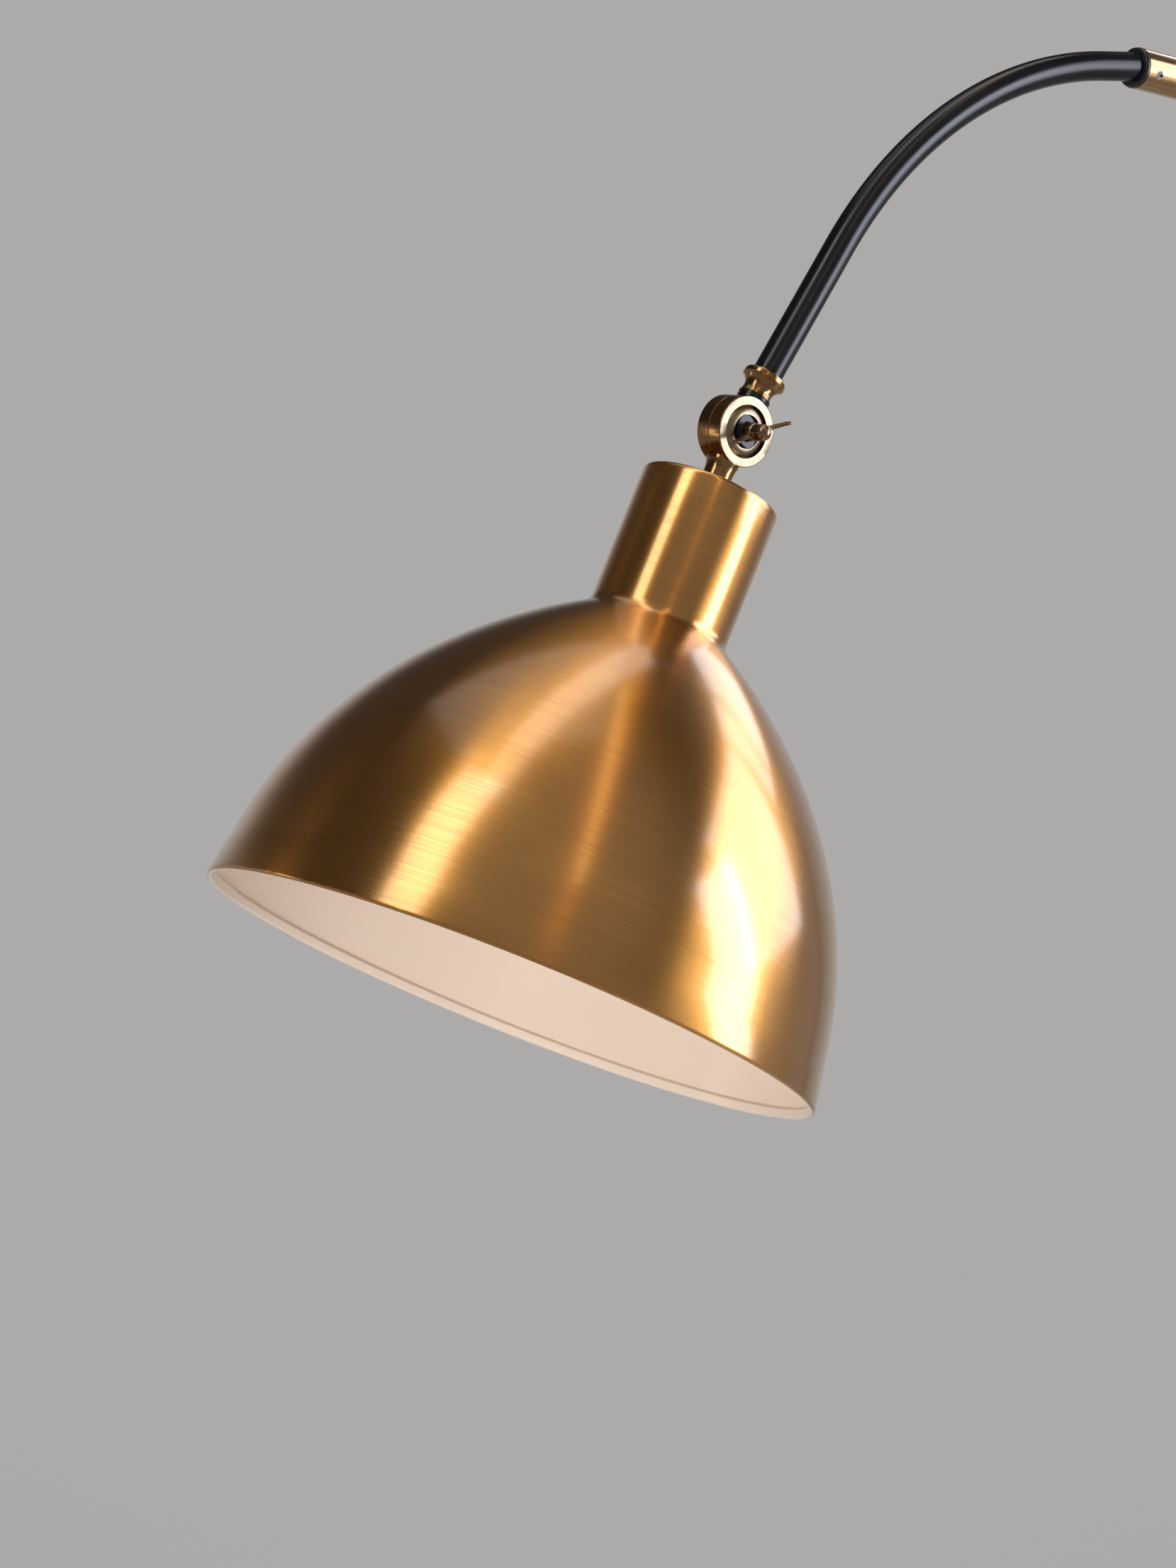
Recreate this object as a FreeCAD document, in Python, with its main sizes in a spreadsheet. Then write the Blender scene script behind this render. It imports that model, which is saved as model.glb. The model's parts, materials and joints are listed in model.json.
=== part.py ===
import FreeCAD, Part
import Sketcher
import math
import os

# Bridge floor lamp: a weighted round base, a pole in three tubes, a boom that swivels and tilts
# on the pole, a hooked arm at the boom's end and a spun metal shade on a wing-nut knuckle.
# Millimetres. Origin at the centre of the base on the floor, +Z up. The boom, the arm and the
# shade lie in the XZ plane, with the shade towards -X and the wing nuts towards -Y.

os.makedirs("parts", exist_ok=True)
doc = FreeCAD.newDocument("bridge_floor_lamp")
sheet = doc.addObject("Spreadsheet::Sheet", "sizes")

DRIVING = {
    "base": {
        "weight_radius": 140, "weight_thick": 22, "weight_chamfer": 3,
        "pad_margin": 4, "pad_thick": 2.5,
        "nut_well_margin": 2, "nut_well_spare": 1.5, "cord_channel": 11,
        "cover_gap": 8.8, "cover_head_gap": 1.3, "cover_wall": 1.2, "cover_lift": 1.5,
        "cover_round": 8, "cover_rise": 4, "cover_flat": 30,
        "inlet_radius": 3.6, "inlet_wall": 2.2, "inlet_lip": 1.6, "inlet_height": 9.5,
    },
    "pole": {
        "stud_radius": 4.95, "stud_bore": 3.2, "stud_above": 26, "stud_lift": 1,
        "base_nut_flats": 17, "base_nut_thick": 6, "base_washer_radius": 14,
        "base_washer_thick": 2,
        "foot_radius": 24, "foot_floor": 6, "foot_cup": 15, "foot_edge": 4, "foot_neck": 14,
        "foot_bend": 14,
        "tube_radius": 11, "tube_wall": 1.5, "tube_length": 462, "plug_length": 22,
        "ring_radius": 12.6, "ring_height": 8, "ring_bead": 1.5, "spigot_length": 22,
        "spigot_wall": 3,
        "socket_radius": 13, "socket_flange": 4, "socket_depth": 36,
    },
    "swivel": {
        "spindle_radius": 6, "spindle_bore": 3.4, "spindle_below": 48,
        "clip_groove": 1, "clip_width": 1.2, "clip_radius": 8.4, "clip_mouth": 3.6,
        "clip_washer_thick": 1.5,
        "swivel_ring": 12.2, "swivel_ring_height": 9, "swivel_waist_bend": 14, "pivot_drop": 46,
    },
    "boom": {
        "boom_length": 362, "boom_radius": 9.15, "boom_wall": 1.2, "boom_angle": 9.6,
        "boom_seat": 31, "boom_collar_top": 40, "boom_collar_ring": 12.4,
        "boom_collar_waist": 8.3, "boom_collar_foot": 9, "boom_collar_bend": 6.5,
        "boom_collar_waist_at": 24.4, "boom_collar_ring_at": 31.5,
        "bush_flange": 2, "bush_radius": 8.95, "bush_length": 16, "bush_round": 1.1,
        "grub_radius": 2, "grub_from_face": 8.6, "grub_angle": 15, "grub_slot": 1,
        "grub_slot_depth": 1.1,
    },
    "arm": {
        "arm_radius": 6.5, "arm_wall": 1.25, "arm_straight_length": 94.8,
        "arm_bend_radius": 197, "arm_hook_angle": 52.2,
        "arm_tail_length": 17.03, "arm_kink_angle": 9.6, "arm_kink_radius": 16, "arm_tang_length": 30,
        "collar_seat": 21.4, "collar_top": 27.6, "collar_ring": 9.3, "collar_waist": 6.5,
        "collar_foot": 7.2, "collar_bend": 6.4, "collar_round": 1.3, "collar_waist_at": 18.8,
        "collar_ring_at": 24.9,
    },
    "head_knuckle": {
        "head_barrel": 14.85, "head_half": 7.1, "head_edge": 0.5, "head_recess": 11.2,
        "head_recess_depth": 1.8,
        "head_web": 1.6, "head_cavity": 6.6, "head_disc": 9.8, "head_disc_bore": 7,
        "head_disc_thick": 1, "head_bolt": 2.5, "head_bolt_cap": 6.5, "head_bolt_cap_thick": 2.6,
        "head_pin": 1, "head_pin_at": 12.3, "head_pin_angle": 40, "head_pin_seat": 3.6,
        "head_pin_reach": 2.2, "head_boss": 6.9, "head_boss_top": 16.8,
        "head_spigot": 4.95, "head_spigot_bore": 3, "head_way": 1.5, "head_rear_top": 33,
        "head_front_top": 45,
        "head_washer": 10.9, "head_washer_eye": 6.6, "head_washer_crest": 7.1,
        "head_washer_height": 2.1, "head_washer_thick": 0.9, "head_washer_dome": 5.2,
        "head_nut": 3.9, "head_nut_foot": 5.2, "head_nut_flange": 1.4, "head_nut_height": 14.6,
        "head_nut_wall": 2.4, "head_nut_shoulder": 7, "head_nut_bevel": 0.5,
        "head_nut_ball": 3.45, "head_nut_dome": 3.35,
        "head_wing_span": 16.6, "head_wing_root_in": 0.6, "head_wing_thick": 1.5,
        "head_wing_angle": 13,
        "head_wing_root_low": 2.6, "head_wing_root_high": 8.8, "head_wing_tip_low": 8.3,
        "head_wing_tip_high": 12.7, "head_wing_tip_round": 2.4, "head_wing_sweep": 16,
        "head_tilt_min_angle": -70, "head_tilt_max_angle": 90,
    },
    "pole_knuckle": {
        "pole_barrel": 19, "pole_half": 9, "pole_edge": 0.6, "pole_recess": 14.4,
        "pole_recess_depth": 2.2,
        "pole_web": 2.2, "pole_cavity": 8.4, "pole_disc": 12.6, "pole_disc_bore": 8.8,
        "pole_disc_thick": 1, "pole_bolt": 4, "pole_bolt_cap": 9, "pole_bolt_cap_thick": 3.4,
        "pole_pin": 1.3, "pole_pin_at": 15.8, "pole_pin_angle": 40, "pole_pin_seat": 4.4,
        "pole_pin_reach": 2.8, "pole_boss": 8.8, "pole_boss_top": 21.6,
        "pole_spigot": 6, "pole_spigot_bore": 3.4, "pole_way": 1.9, "pole_rear_top": 38,
        "pole_front_top": 44,
        "pole_washer": 13.9, "pole_washer_eye": 8.5, "pole_washer_crest": 9.1,
        "pole_washer_height": 2.6, "pole_washer_thick": 1.1, "pole_washer_dome": 6.7,
        "pole_nut": 5.8, "pole_nut_foot": 6.9, "pole_nut_flange": 1.8, "pole_nut_height": 19,
        "pole_nut_wall": 3, "pole_nut_shoulder": 9.5, "pole_nut_bevel": 0.6,
        "pole_nut_ball": 5.1, "pole_nut_dome": 4.95,
        "pole_wing_span": 21, "pole_wing_root_in": 0.9, "pole_wing_thick": 2.2,
        "pole_wing_angle": 8,
        "pole_wing_root_low": 3.4, "pole_wing_root_high": 11.6, "pole_wing_tip_low": 11,
        "pole_wing_tip_high": 16.8, "pole_wing_tip_round": 3.2, "pole_wing_sweep": 21,
        "pole_tilt_min_angle": -30, "pole_tilt_max_angle": 55,
    },
    "shade": {
        "shade_angle": 28.42, "stem_length": 27.3, "stem_radius": 6.25, "stem_flare": 0.8,
        "stem_flare_height": 4.5, "stem_flare_bend": 14,
        "neck_radius": 29.6, "neck_length": 58.5, "neck_round": 2.4, "shade_wall": 0.8,
        "crown_fillet": 6.9, "crown_angle": 57.8, "crown_radius": 232, "shoulder_angle": 41.8,
        "shoulder_radius": 195, "belly_angle": 26.1, "belly_radius": 172, "skirt_angle": 9.4,
        "skirt_length": 27.3, "hem_depth": 2.4, "hem_height": 3.3,
    },
    "lampholder": {
        "shade_nut_flats": 14, "shade_nut_thick": 4, "shade_washer_radius": 12,
        "shade_washer_thick": 1.5,
        "cap_drop": 1, "cap_neck": 8, "cap_radius": 19.3, "cap_wall": 1.6, "cap_height": 23,
        "cap_neck_height": 7, "cap_round": 6,
        "holder_radius": 21, "holder_length": 31, "holder_overlap": 6, "holder_wall": 3,
        "core_radius": 16.8, "core_thick": 11, "core_drop": 13,
        "holder_lip": 14.6, "holder_lip_thick": 3, "holder_round": 1.5, "core_hole": 1.6,
        "core_hole_at": 10.5,
        "thread_radius": 13.2, "thread_wall": 0.6, "thread_flange": 15.8,
        "contact_radius": 4, "contact_foot": 2, "contact_height": 4, "contact_thick": 0.6,
        "contact_sunk": 0.4,
    },
    "fits": {
        "running": 0.05, "clearance": 0.3, "seam": 0.2, "press": 0.02, "boss_sink": 0.5,
        "wing_tip_in": 1.6, "bore_stop": 2, "overcut": 1,
    },
}


class Size:
    # A length or angle that carries both its number and the sheet expression it comes from.
    def __init__(self, number, text):
        self.number = float(number)
        self.text = text

    def __add__(self, other):
        other = as_size(other)
        return Size(self.number + other.number, f"({self.text} + {other.text})")

    def __sub__(self, other):
        other = as_size(other)
        return Size(self.number - other.number, f"({self.text} - {other.text})")

    def __mul__(self, other):
        other = as_size(other)
        return Size(self.number * other.number, f"({self.text} * {other.text})")

    def __truediv__(self, other):
        other = as_size(other)
        return Size(self.number / other.number, f"({self.text} / {other.text})")

    def __neg__(self):
        return Size(-self.number, f"(0 - {self.text})")

    def __radd__(self, other):
        return as_size(other) + self

    def __rsub__(self, other):
        return as_size(other) - self

    def __rmul__(self, other):
        return as_size(other) * self


def as_size(value):
    if isinstance(value, Size):
        return value
    return Size(value, repr(float(value)))


def sin(angle):
    return Size(math.sin(math.radians(angle.number)), f"sin({angle.text})")


def cos(angle):
    return Size(math.cos(math.radians(angle.number)), f"cos({angle.text})")


def root(square):
    return Size(math.sqrt(square.number), f"sqrt({square.text})")


class Group:
    # The sheet's values, reached by name.
    pass


s = Group()
row = 0
for heading, values in DRIVING.items():
    row += 1
    sheet.set(f"A{row}", heading)
    for alias, value in values.items():
        row += 1
        sheet.set(f"A{row}", alias.replace("_", " "))
        sheet.set(f"B{row}", str(value))
        sheet.setAlias(f"B{row}", alias)
        setattr(s, alias, Size(value, f"sizes.{alias}"))


def derive(alias, value):
    # A worked-out value gets a cell of its own, so that later expressions stay short.
    global row
    row += 1
    sheet.set(f"A{row}", alias.replace("_", " "))
    sheet.set(f"B{row}", "=" + value.text.replace("sizes.", ""))
    sheet.setAlias(f"B{row}", alias)
    setattr(s, alias, Size(value.number, f"sizes.{alias}"))
    return getattr(s, alias)


def bind(obj, prop, value):
    obj.setExpression(prop, as_size(value).text)


def place(obj, x, z, lean):
    # Puts a piece's own frame at (x, 0, z), leaning from +Z towards +X by lean.
    lean = as_size(lean)
    if lean.number > 180:
        lean = lean - 360
    axis = FreeCAD.Vector(0, 1 if lean.number >= 0 else -1, 0)
    turn = lean if lean.number >= 0 else -lean
    start = FreeCAD.Vector(as_size(x).number, 0, as_size(z).number)
    obj.Placement = FreeCAD.Placement(start, FreeCAD.Rotation(axis, turn.number))
    if turn.number > 0:
        bind(obj, "Placement.Rotation.Angle", turn)
    bind(obj, "Placement.Base.x", x)
    bind(obj, "Placement.Base.z", z)
    return obj


# ---- outlines and solids ----------------------------------------------------------------

def arc_centre(start, end, radius, side):
    # side is +1 where the outline turns left along the arc and -1 where it turns right.
    dx = end[0] - start[0]
    dy = end[1] - start[1]
    chord = math.hypot(dx, dy)
    off = math.sqrt(max(radius * radius - chord * chord / 4, 0.0)) * side
    return (start[0] + dx / 2 - dy / chord * off, start[1] + dy / 2 + dx / chord * off)


def trace(sketch, outline, closed=True):
    # outline is a list of (x, y) corners; (x, y, radius, side) reaches its corner by an arc.
    corners = [(as_size(step[0]), as_size(step[1])) for step in outline]
    count = len(corners)
    links = []
    for i in range(count if closed else count - 1):
        here = (corners[i][0].number, corners[i][1].number)
        step = outline[(i + 1) % count]
        there = (as_size(step[0]).number, as_size(step[1]).number)
        if len(step) == 2:
            line = Part.LineSegment(FreeCAD.Vector(*here, 0), FreeCAD.Vector(*there, 0))
            links.append((sketch.addGeometry(line, False), 1, 2))
            continue
        radius = as_size(step[2])
        side = step[3]
        centre = arc_centre(here, there, radius.number, side)
        low, high = (here, there) if side > 0 else (there, here)
        angles = [math.atan2(p[1] - centre[1], p[0] - centre[0]) for p in (low, high)]
        circle = Part.Circle(FreeCAD.Vector(*centre, 0), FreeCAD.Vector(0, 0, 1), radius.number)
        arc = sketch.addGeometry(Part.ArcOfCircle(circle, *angles), False)
        links.append((arc, 1, 2) if side > 0 else (arc, 2, 1))
        index = sketch.addConstraint(Sketcher.Constraint("Radius", arc, radius.number))
        bind(sketch, f"Constraints[{index}]", radius)
    for i, (edge, start, end) in enumerate(links):
        if closed or i + 1 < len(links):
            follower = links[(i + 1) % len(links)]
            sketch.addConstraint(Sketcher.Constraint("Coincident", edge, end, follower[0], follower[1]))
    for i, (x, y) in enumerate(corners):
        edge, vertex = (links[i][0], links[i][1]) if i < len(links) else (links[-1][0], links[-1][2])
        for kind, value in (("DistanceX", x), ("DistanceY", y)):
            index = sketch.addConstraint(
                Sketcher.Constraint(kind, -1, 1, edge, vertex, value.number))
            bind(sketch, f"Constraints[{index}]", value)


def new_sketch(body, name, plane):
    sketch = body.newObject("Sketcher::SketchObject", name)
    support = [item for item in body.Origin.OriginFeatures if item.Role == plane][0]
    sketch.AttachmentSupport = (support, [""])
    sketch.MapMode = "FlatFace"
    return sketch


def turned(name, outline, plane="XZ_Plane"):
    # A lathe-turned piece: the outline's x is the radius, and its y runs along the axis,
    # which is Z for an outline on the XZ plane and Y for one on the XY plane.
    body = doc.addObject("PartDesign::Body", name)
    sketch = new_sketch(body, name + "_outline", plane)
    trace(sketch, outline)
    turn = body.newObject("PartDesign::Revolution", name + "_turn")
    turn.Profile = sketch
    turn.ReferenceAxis = (sketch, ["V_Axis"])
    turn.Angle = 360
    return body


def sheet_cut(name, outline, thick, plane):
    # A flat piece of even thickness, centred on its plane.
    body = doc.addObject("PartDesign::Body", name)
    sketch = new_sketch(body, name + "_outline", plane)
    trace(sketch, outline)
    pad = body.newObject("PartDesign::Pad", name + "_pad")
    pad.Profile = sketch
    pad.SideType = "Symmetric"
    bind(pad, "Length", thick)
    return body


ALONG = {
    "+X": FreeCAD.Rotation(FreeCAD.Vector(0, 1, 0), 90),
    "-Y": FreeCAD.Rotation(FreeCAD.Vector(1, 0, 0), 90),
    "+Y": FreeCAD.Rotation(FreeCAD.Vector(1, 0, 0), -90),
    "+Z": FreeCAD.Rotation(),
}


def shift(obj, at, rotation):
    place_at = FreeCAD.Vector(*[as_size(part).number for part in at])
    obj.Placement = FreeCAD.Placement(place_at, rotation)
    for letter, part in zip("xyz", at):
        bind(obj, f"Placement.Base.{letter}", part)
    return obj


def rod(name, radius, length, at, along="+Z"):
    obj = doc.addObject("Part::Cylinder", name)
    bind(obj, "Radius", radius)
    bind(obj, "Height", length)
    return shift(obj, at, ALONG[along])


def block(name, length, width, height, at):
    obj = doc.addObject("Part::Box", name)
    bind(obj, "Length", length)
    bind(obj, "Width", width)
    bind(obj, "Height", height)
    return shift(obj, at, FreeCAD.Rotation())


def hexagon(name, flats, height, at):
    obj = doc.addObject("Part::Prism", name)
    obj.Polygon = 6
    bind(obj, "Circumradius", flats / math.sqrt(3))
    bind(obj, "Height", height)
    return shift(obj, at, FreeCAD.Rotation())


def joined(name, pieces):
    obj = doc.addObject("Part::MultiFuse", name)
    obj.Shapes = pieces
    return obj


def wrapped(name, piece):
    # Lets a piece that is already shifted in its own frame take a second place.
    obj = doc.addObject("Part::Compound", name)
    obj.Links = [piece]
    return obj


def cut(name, base, tools):
    obj = doc.addObject("Part::Cut", name)
    obj.Base = base
    obj.Tool = tools[0] if len(tools) == 1 else joined(name + "_tools", tools)
    return obj


nodes = []


def node(obj, label):
    obj.Label = label
    nodes.append(obj)
    return obj


def ring(name, inner, outer, low, high, plane="XZ_Plane"):
    return turned(name, [(inner, low), (outer, low), (outer, high), (inner, high)], plane)


# ---- places -----------------------------------------------------------------------------

derive("pad_radius", s.weight_radius + s.pad_margin)
derive("weight_top", s.pad_thick + s.weight_thick)
derive("nut_well_radius", s.base_washer_radius + s.nut_well_margin)
derive("nut_well_depth", s.nut_well_spare + s.base_nut_thick + s.base_washer_thick)
derive("cover_radius", s.weight_radius + s.cover_gap + s.cover_wall)
derive("cover_shoulder", s.weight_top + s.cover_head_gap + s.cover_wall)
derive("cover_edge_top", s.cover_shoulder - s.cover_round)
derive("base_top", s.cover_shoulder + s.cover_rise)
derive("tube_foot", s.base_top + s.foot_floor)
derive("tube_bore", s.tube_radius - s.tube_wall)
derive("tube_step", s.tube_length + s.ring_height)
derive("pole_top", s.tube_foot + 2 * s.tube_step + s.tube_length)
derive("swivel_seat", s.pole_top + s.socket_flange)
derive("pivot_height", s.swivel_seat + s.pivot_drop)

derive("boom_lean", 0 - (90 - s.boom_angle))
derive("mouth_x", 0 - s.boom_length * cos(s.boom_angle))
derive("mouth_z", s.pivot_height + s.boom_length * sin(s.boom_angle))

# The arm's own frame stands at the head knuckle, with +Z along the arm's straight end.
derive("arm_lean", 90 + s.boom_angle - s.arm_hook_angle - s.arm_kink_angle)
derive("bend_end_x", s.arm_bend_radius * (1 - cos(s.arm_hook_angle)))
derive("bend_end_z", s.arm_straight_length + s.arm_bend_radius * sin(s.arm_hook_angle))
derive("tail_end_x", s.bend_end_x + s.arm_tail_length * sin(s.arm_hook_angle))
derive("tail_end_z", s.bend_end_z + s.arm_tail_length * cos(s.arm_hook_angle))
derive("tang_angle", s.arm_hook_angle + s.arm_kink_angle)
derive("kink_end_x", s.tail_end_x + s.arm_kink_radius * (cos(s.arm_hook_angle) - cos(s.tang_angle)))
derive("kink_end_z", s.tail_end_z + s.arm_kink_radius * (sin(s.tang_angle) - sin(s.arm_hook_angle)))
derive("tang_end_x", s.kink_end_x + s.arm_tang_length * sin(s.tang_angle))
derive("tang_end_z", s.kink_end_z + s.arm_tang_length * cos(s.tang_angle))
derive("head_x", s.mouth_x - (s.kink_end_x * cos(s.arm_lean) + s.kink_end_z * sin(s.arm_lean)))
derive("head_z", s.mouth_z - (s.kink_end_z * cos(s.arm_lean) - s.kink_end_x * sin(s.arm_lean)))


def on_boom(obj):
    return place(obj, 0, s.pivot_height, s.boom_lean)


def on_arm(obj):
    return place(obj, s.head_x, s.head_z, s.arm_lean)


def on_head(obj):
    # The head's own frame has +Z down its axis, from the knuckle to the shade's mouth.
    return place(obj, s.head_x, s.head_z, s.shade_angle - 180)


def on_pole_top(obj):
    # The swivel's half of the pole knuckle has its +Z pointing down the pole.
    return place(obj, 0, s.pivot_height, 180)


# ---- base -------------------------------------------------------------------------------

def make_base():
    node(ring("pad", 0, s.pad_radius, 0, s.pad_thick), "base_pad")

    low = s.pad_thick
    hole = s.stud_radius + s.clearance
    disc = turned("weight_disc", [
        (hole, low),
        (s.weight_radius, low),
        (s.weight_radius, s.weight_top - s.weight_chamfer),
        (s.weight_radius - s.weight_chamfer, s.weight_top),
        (hole, s.weight_top),
    ])
    well = rod("nut_well", s.nut_well_radius, s.nut_well_depth, (0, 0, low))
    channel = block("cord_way", s.weight_radius + s.overcut, s.cord_channel,
                    s.inlet_height + s.cord_channel / 2 - low, (0, 0 - s.cord_channel / 2, low))
    node(cut("weight", disc, [well, channel]), "base_weight")

    outer = s.cover_radius
    wall = s.cover_wall
    shell = turned("cover_shell", [
        (outer - wall, s.cover_lift),
        (outer, s.cover_lift),
        (outer, s.cover_edge_top),
        (outer - s.cover_round, s.cover_shoulder, s.cover_round, 1),
        (s.cover_flat, s.base_top),
        (hole, s.base_top),
        (hole, s.base_top - wall),
        (s.cover_flat, s.base_top - wall),
        (outer - s.cover_round, s.cover_shoulder - wall),
        (outer - wall, s.cover_edge_top, s.cover_round - wall, -1),
    ])
    inlet = rod("inlet_hole", s.inlet_radius + s.inlet_wall + s.press, 2 * s.cover_round,
                (outer - s.cover_round, 0, s.inlet_height), "+X")
    node(cut("cover", shell, [inlet]), "base_cover")

    # The grommet's groove grips the cover's wall, with a lip on each side of it.
    bore = s.inlet_radius
    neck = bore + s.inlet_wall
    lip = neck + s.inlet_lip
    groove_in = 0 - wall - s.clearance
    groove_out = s.clearance
    grommet = turned("grommet", [
        (bore, groove_in - s.inlet_lip), (lip, groove_in - s.inlet_lip), (lip, groove_in),
        (neck, groove_in), (neck, groove_out), (lip, groove_out),
        (lip - s.inlet_lip / 2, groove_out + s.inlet_lip), (bore, groove_out + s.inlet_lip),
    ])
    node(shift(grommet, (outer, 0, s.inlet_height), ALONG["+X"]), "base_grommet")

    washer_top = low + s.nut_well_depth
    nut_top = washer_top - s.base_washer_thick
    nut_low = nut_top - s.base_nut_thick
    washer = ring("base_ring", s.stud_radius + s.running, s.base_washer_radius,
                  nut_top, washer_top)
    node(washer, "base_washer")
    nut = cut("base_hex",
              hexagon("base_hex_body", s.base_nut_flats, s.base_nut_thick, (0, 0, nut_low)),
              [rod("base_hex_bore", s.stud_radius + s.press, s.base_nut_thick, (0, 0, nut_low))])
    node(nut, "base_nut")


# ---- pole -------------------------------------------------------------------------------

def make_pole():
    top = s.base_top
    thread = s.stud_radius + s.press
    node(ring("stud", s.stud_bore, s.stud_radius, s.pad_thick + s.stud_lift, top + s.stud_above),
         "base_stud")

    cup_top = s.tube_foot + s.foot_cup
    foot = turned("foot", [
        (thread, top),
        (s.foot_radius, top),
        (s.foot_radius, top + s.foot_edge),
        (s.foot_neck, cup_top - s.foot_edge, s.foot_bend, -1),
        (s.foot_neck, cup_top),
        (s.tube_radius + s.press, cup_top),
        (s.tube_radius + s.press, s.tube_foot),
        (thread, s.tube_foot),
    ])
    node(foot, "pole_foot")
    node(ring("plug", thread, s.tube_bore - s.press, s.tube_foot, s.tube_foot + s.plug_length),
         "pole_plug")

    for i, level in enumerate(("lower", "middle", "upper")):
        start = s.tube_foot + i * s.tube_step
        tube = ring(f"tube_{level}", s.tube_bore, s.tube_radius, start, start + s.tube_length)
        node(tube, f"pole_tube_{level}")

    # Each joint stands proud as a ring between two tubes, with a spigot into each of them.
    spigot = s.tube_bore - s.press
    bore = s.tube_bore - s.spigot_wall
    bead = s.ring_bead
    for i, level in enumerate(("lower", "upper")):
        low = s.tube_foot + i * s.tube_step + s.tube_length
        high = low + s.ring_height
        joint = turned(f"joint_{level}", [
            (bore, low - s.spigot_length), (spigot, low - s.spigot_length), (spigot, low),
            (s.ring_radius - bead, low), (s.ring_radius, low + bead, bead, 1),
            (s.ring_radius, high - bead), (s.ring_radius - bead, high, bead, 1),
            (spigot, high), (spigot, high + s.spigot_length), (bore, high + s.spigot_length),
        ])
        node(joint, f"pole_joint_{level}")

    hole = s.spindle_radius + s.running
    socket = turned("socket", [
        (hole, s.pole_top - s.socket_depth), (spigot, s.pole_top - s.socket_depth),
        (spigot, s.pole_top), (s.socket_radius - bead, s.pole_top),
        (s.socket_radius, s.pole_top + bead, bead, 1), (s.socket_radius, s.swivel_seat),
        (hole, s.swivel_seat),
    ])
    node(socket, "pole_socket")


def make_swivel():
    # The spindle turns in the pole's socket and carries the lower half of the pole knuckle.
    seat = s.swivel_seat
    shaft = s.spindle_radius
    groove = shaft - s.clip_groove
    washer_top = s.pole_top - s.socket_depth
    clip_top = washer_top - s.clip_washer_thick
    clip_low = clip_top - s.clip_width
    end = seat - s.spindle_below
    top = s.pivot_height - s.pole_boss_top
    thread = s.pole_spigot + s.press
    thread_end = s.pivot_height - s.pole_rear_top
    ring_top = seat + s.swivel_ring_height
    bead = s.ring_bead
    spindle = turned("spindle", [
        (s.spindle_bore, end), (shaft, end), (shaft, clip_low), (groove, clip_low),
        (groove, clip_top), (shaft, clip_top), (shaft, seat),
        (s.swivel_ring - bead, seat), (s.swivel_ring, seat + bead, bead, 1),
        (s.swivel_ring, ring_top - bead), (s.swivel_ring - bead, ring_top, bead, 1),
        (s.pole_boss, top, s.swivel_waist_bend, -1),
        (thread, top), (thread, thread_end), (s.spindle_bore, thread_end),
    ])
    node(spindle, "swivel_spindle")
    node(ring("swivel_flat", shaft + s.running, s.clip_radius, clip_top, washer_top),
         "swivel_washer")
    clip = ring("clip_ring", groove + s.press, s.clip_radius, clip_low, clip_top)
    mouth = block("clip_mouth", s.clip_radius, 2 * s.clip_mouth, s.clip_width,
                  (0, 0 - s.clip_mouth, clip_low))
    node(cut("clip", clip, [mouth]), "swivel_clip")


# ---- knuckles ---------------------------------------------------------------------------
# Both knuckles are made alike: a barrel in two halves on a bolt, each half with a boss that
# points along its own +Z, and a cup washer and wing nut on the front, towards -Y.

def knuckle_sizes(kind):
    # The sizes whose aliases start with the joint's name, such as head_barrel or pole_barrel.
    k = Group()
    for alias in list(vars(s)):
        if alias.startswith(kind + "_"):
            setattr(k, alias[len(kind) + 1:], getattr(s, alias))
    k.kind = kind
    k.skin = s.seam / 2
    k.floor = k.half - k.recess_depth
    k.inner = k.floor - k.web
    k.disc_half = k.disc_thick / 2
    k.seat = k.floor + k.washer_thick
    return k


def barrel_half(k, word, side, hole):
    # Turned about Y: a rim, the washer's recess outside, and a cavity for the wires inside,
    # with a seat for the friction disc round it.
    return turned(f"{k.kind}_{word}_barrel", [
        (hole, side * k.inner), (k.cavity, side * k.inner), (k.cavity, side * k.disc_half),
        (k.disc + s.running, side * k.disc_half), (k.disc + s.running, side * k.skin),
        (k.barrel - s.clearance, side * k.skin), (k.barrel, side * (k.skin + s.clearance)),
        (k.barrel, side * (k.half - k.edge)), (k.barrel - k.edge, side * k.half, k.edge, side),
        (k.recess, side * k.half), (k.recess, side * k.floor), (hole, side * k.floor),
    ], "XY_Plane")


def bored_half(k, word, side, hole, post, post_top, holes):
    # The boss bridges both halves of the barrel, so it is cut back to clear the other half's
    # rim. Its threaded spigot is bored, and a side way leads the wires to this half's cavity.
    name = f"{k.kind}_{word}"
    post_body = turned(f"{name}_post", post)
    reach = k.half + 2 * s.overcut
    relief = rod(f"{name}_relief", k.barrel + s.clearance, reach + k.skin,
                 (0, (0 - k.skin) if side < 0 else (0 - reach), 0), "+Y")
    boss = cut(f"{name}_boss", post_body, [relief])
    body = joined(f"{name}_body", [barrel_half(k, word, side, hole), boss])
    turn_in = k.barrel + s.bore_stop
    bore = rod(f"{name}_bore", k.spigot_bore, post_top - turn_in + s.overcut, (0, 0, turn_in))
    way = rod(f"{name}_way", k.way, turn_in - k.cavity / 2 + s.overcut,
              (0, side * (k.inner + k.disc_half) / 2, k.cavity / 2))
    return cut(name, body, [bore, way] + holes)


def post_start(k, boss):
    # The boss starts inside the rim, where the rim is still wider than the boss.
    return root(k.barrel * k.barrel - boss * boss) - s.boss_sink


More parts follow.
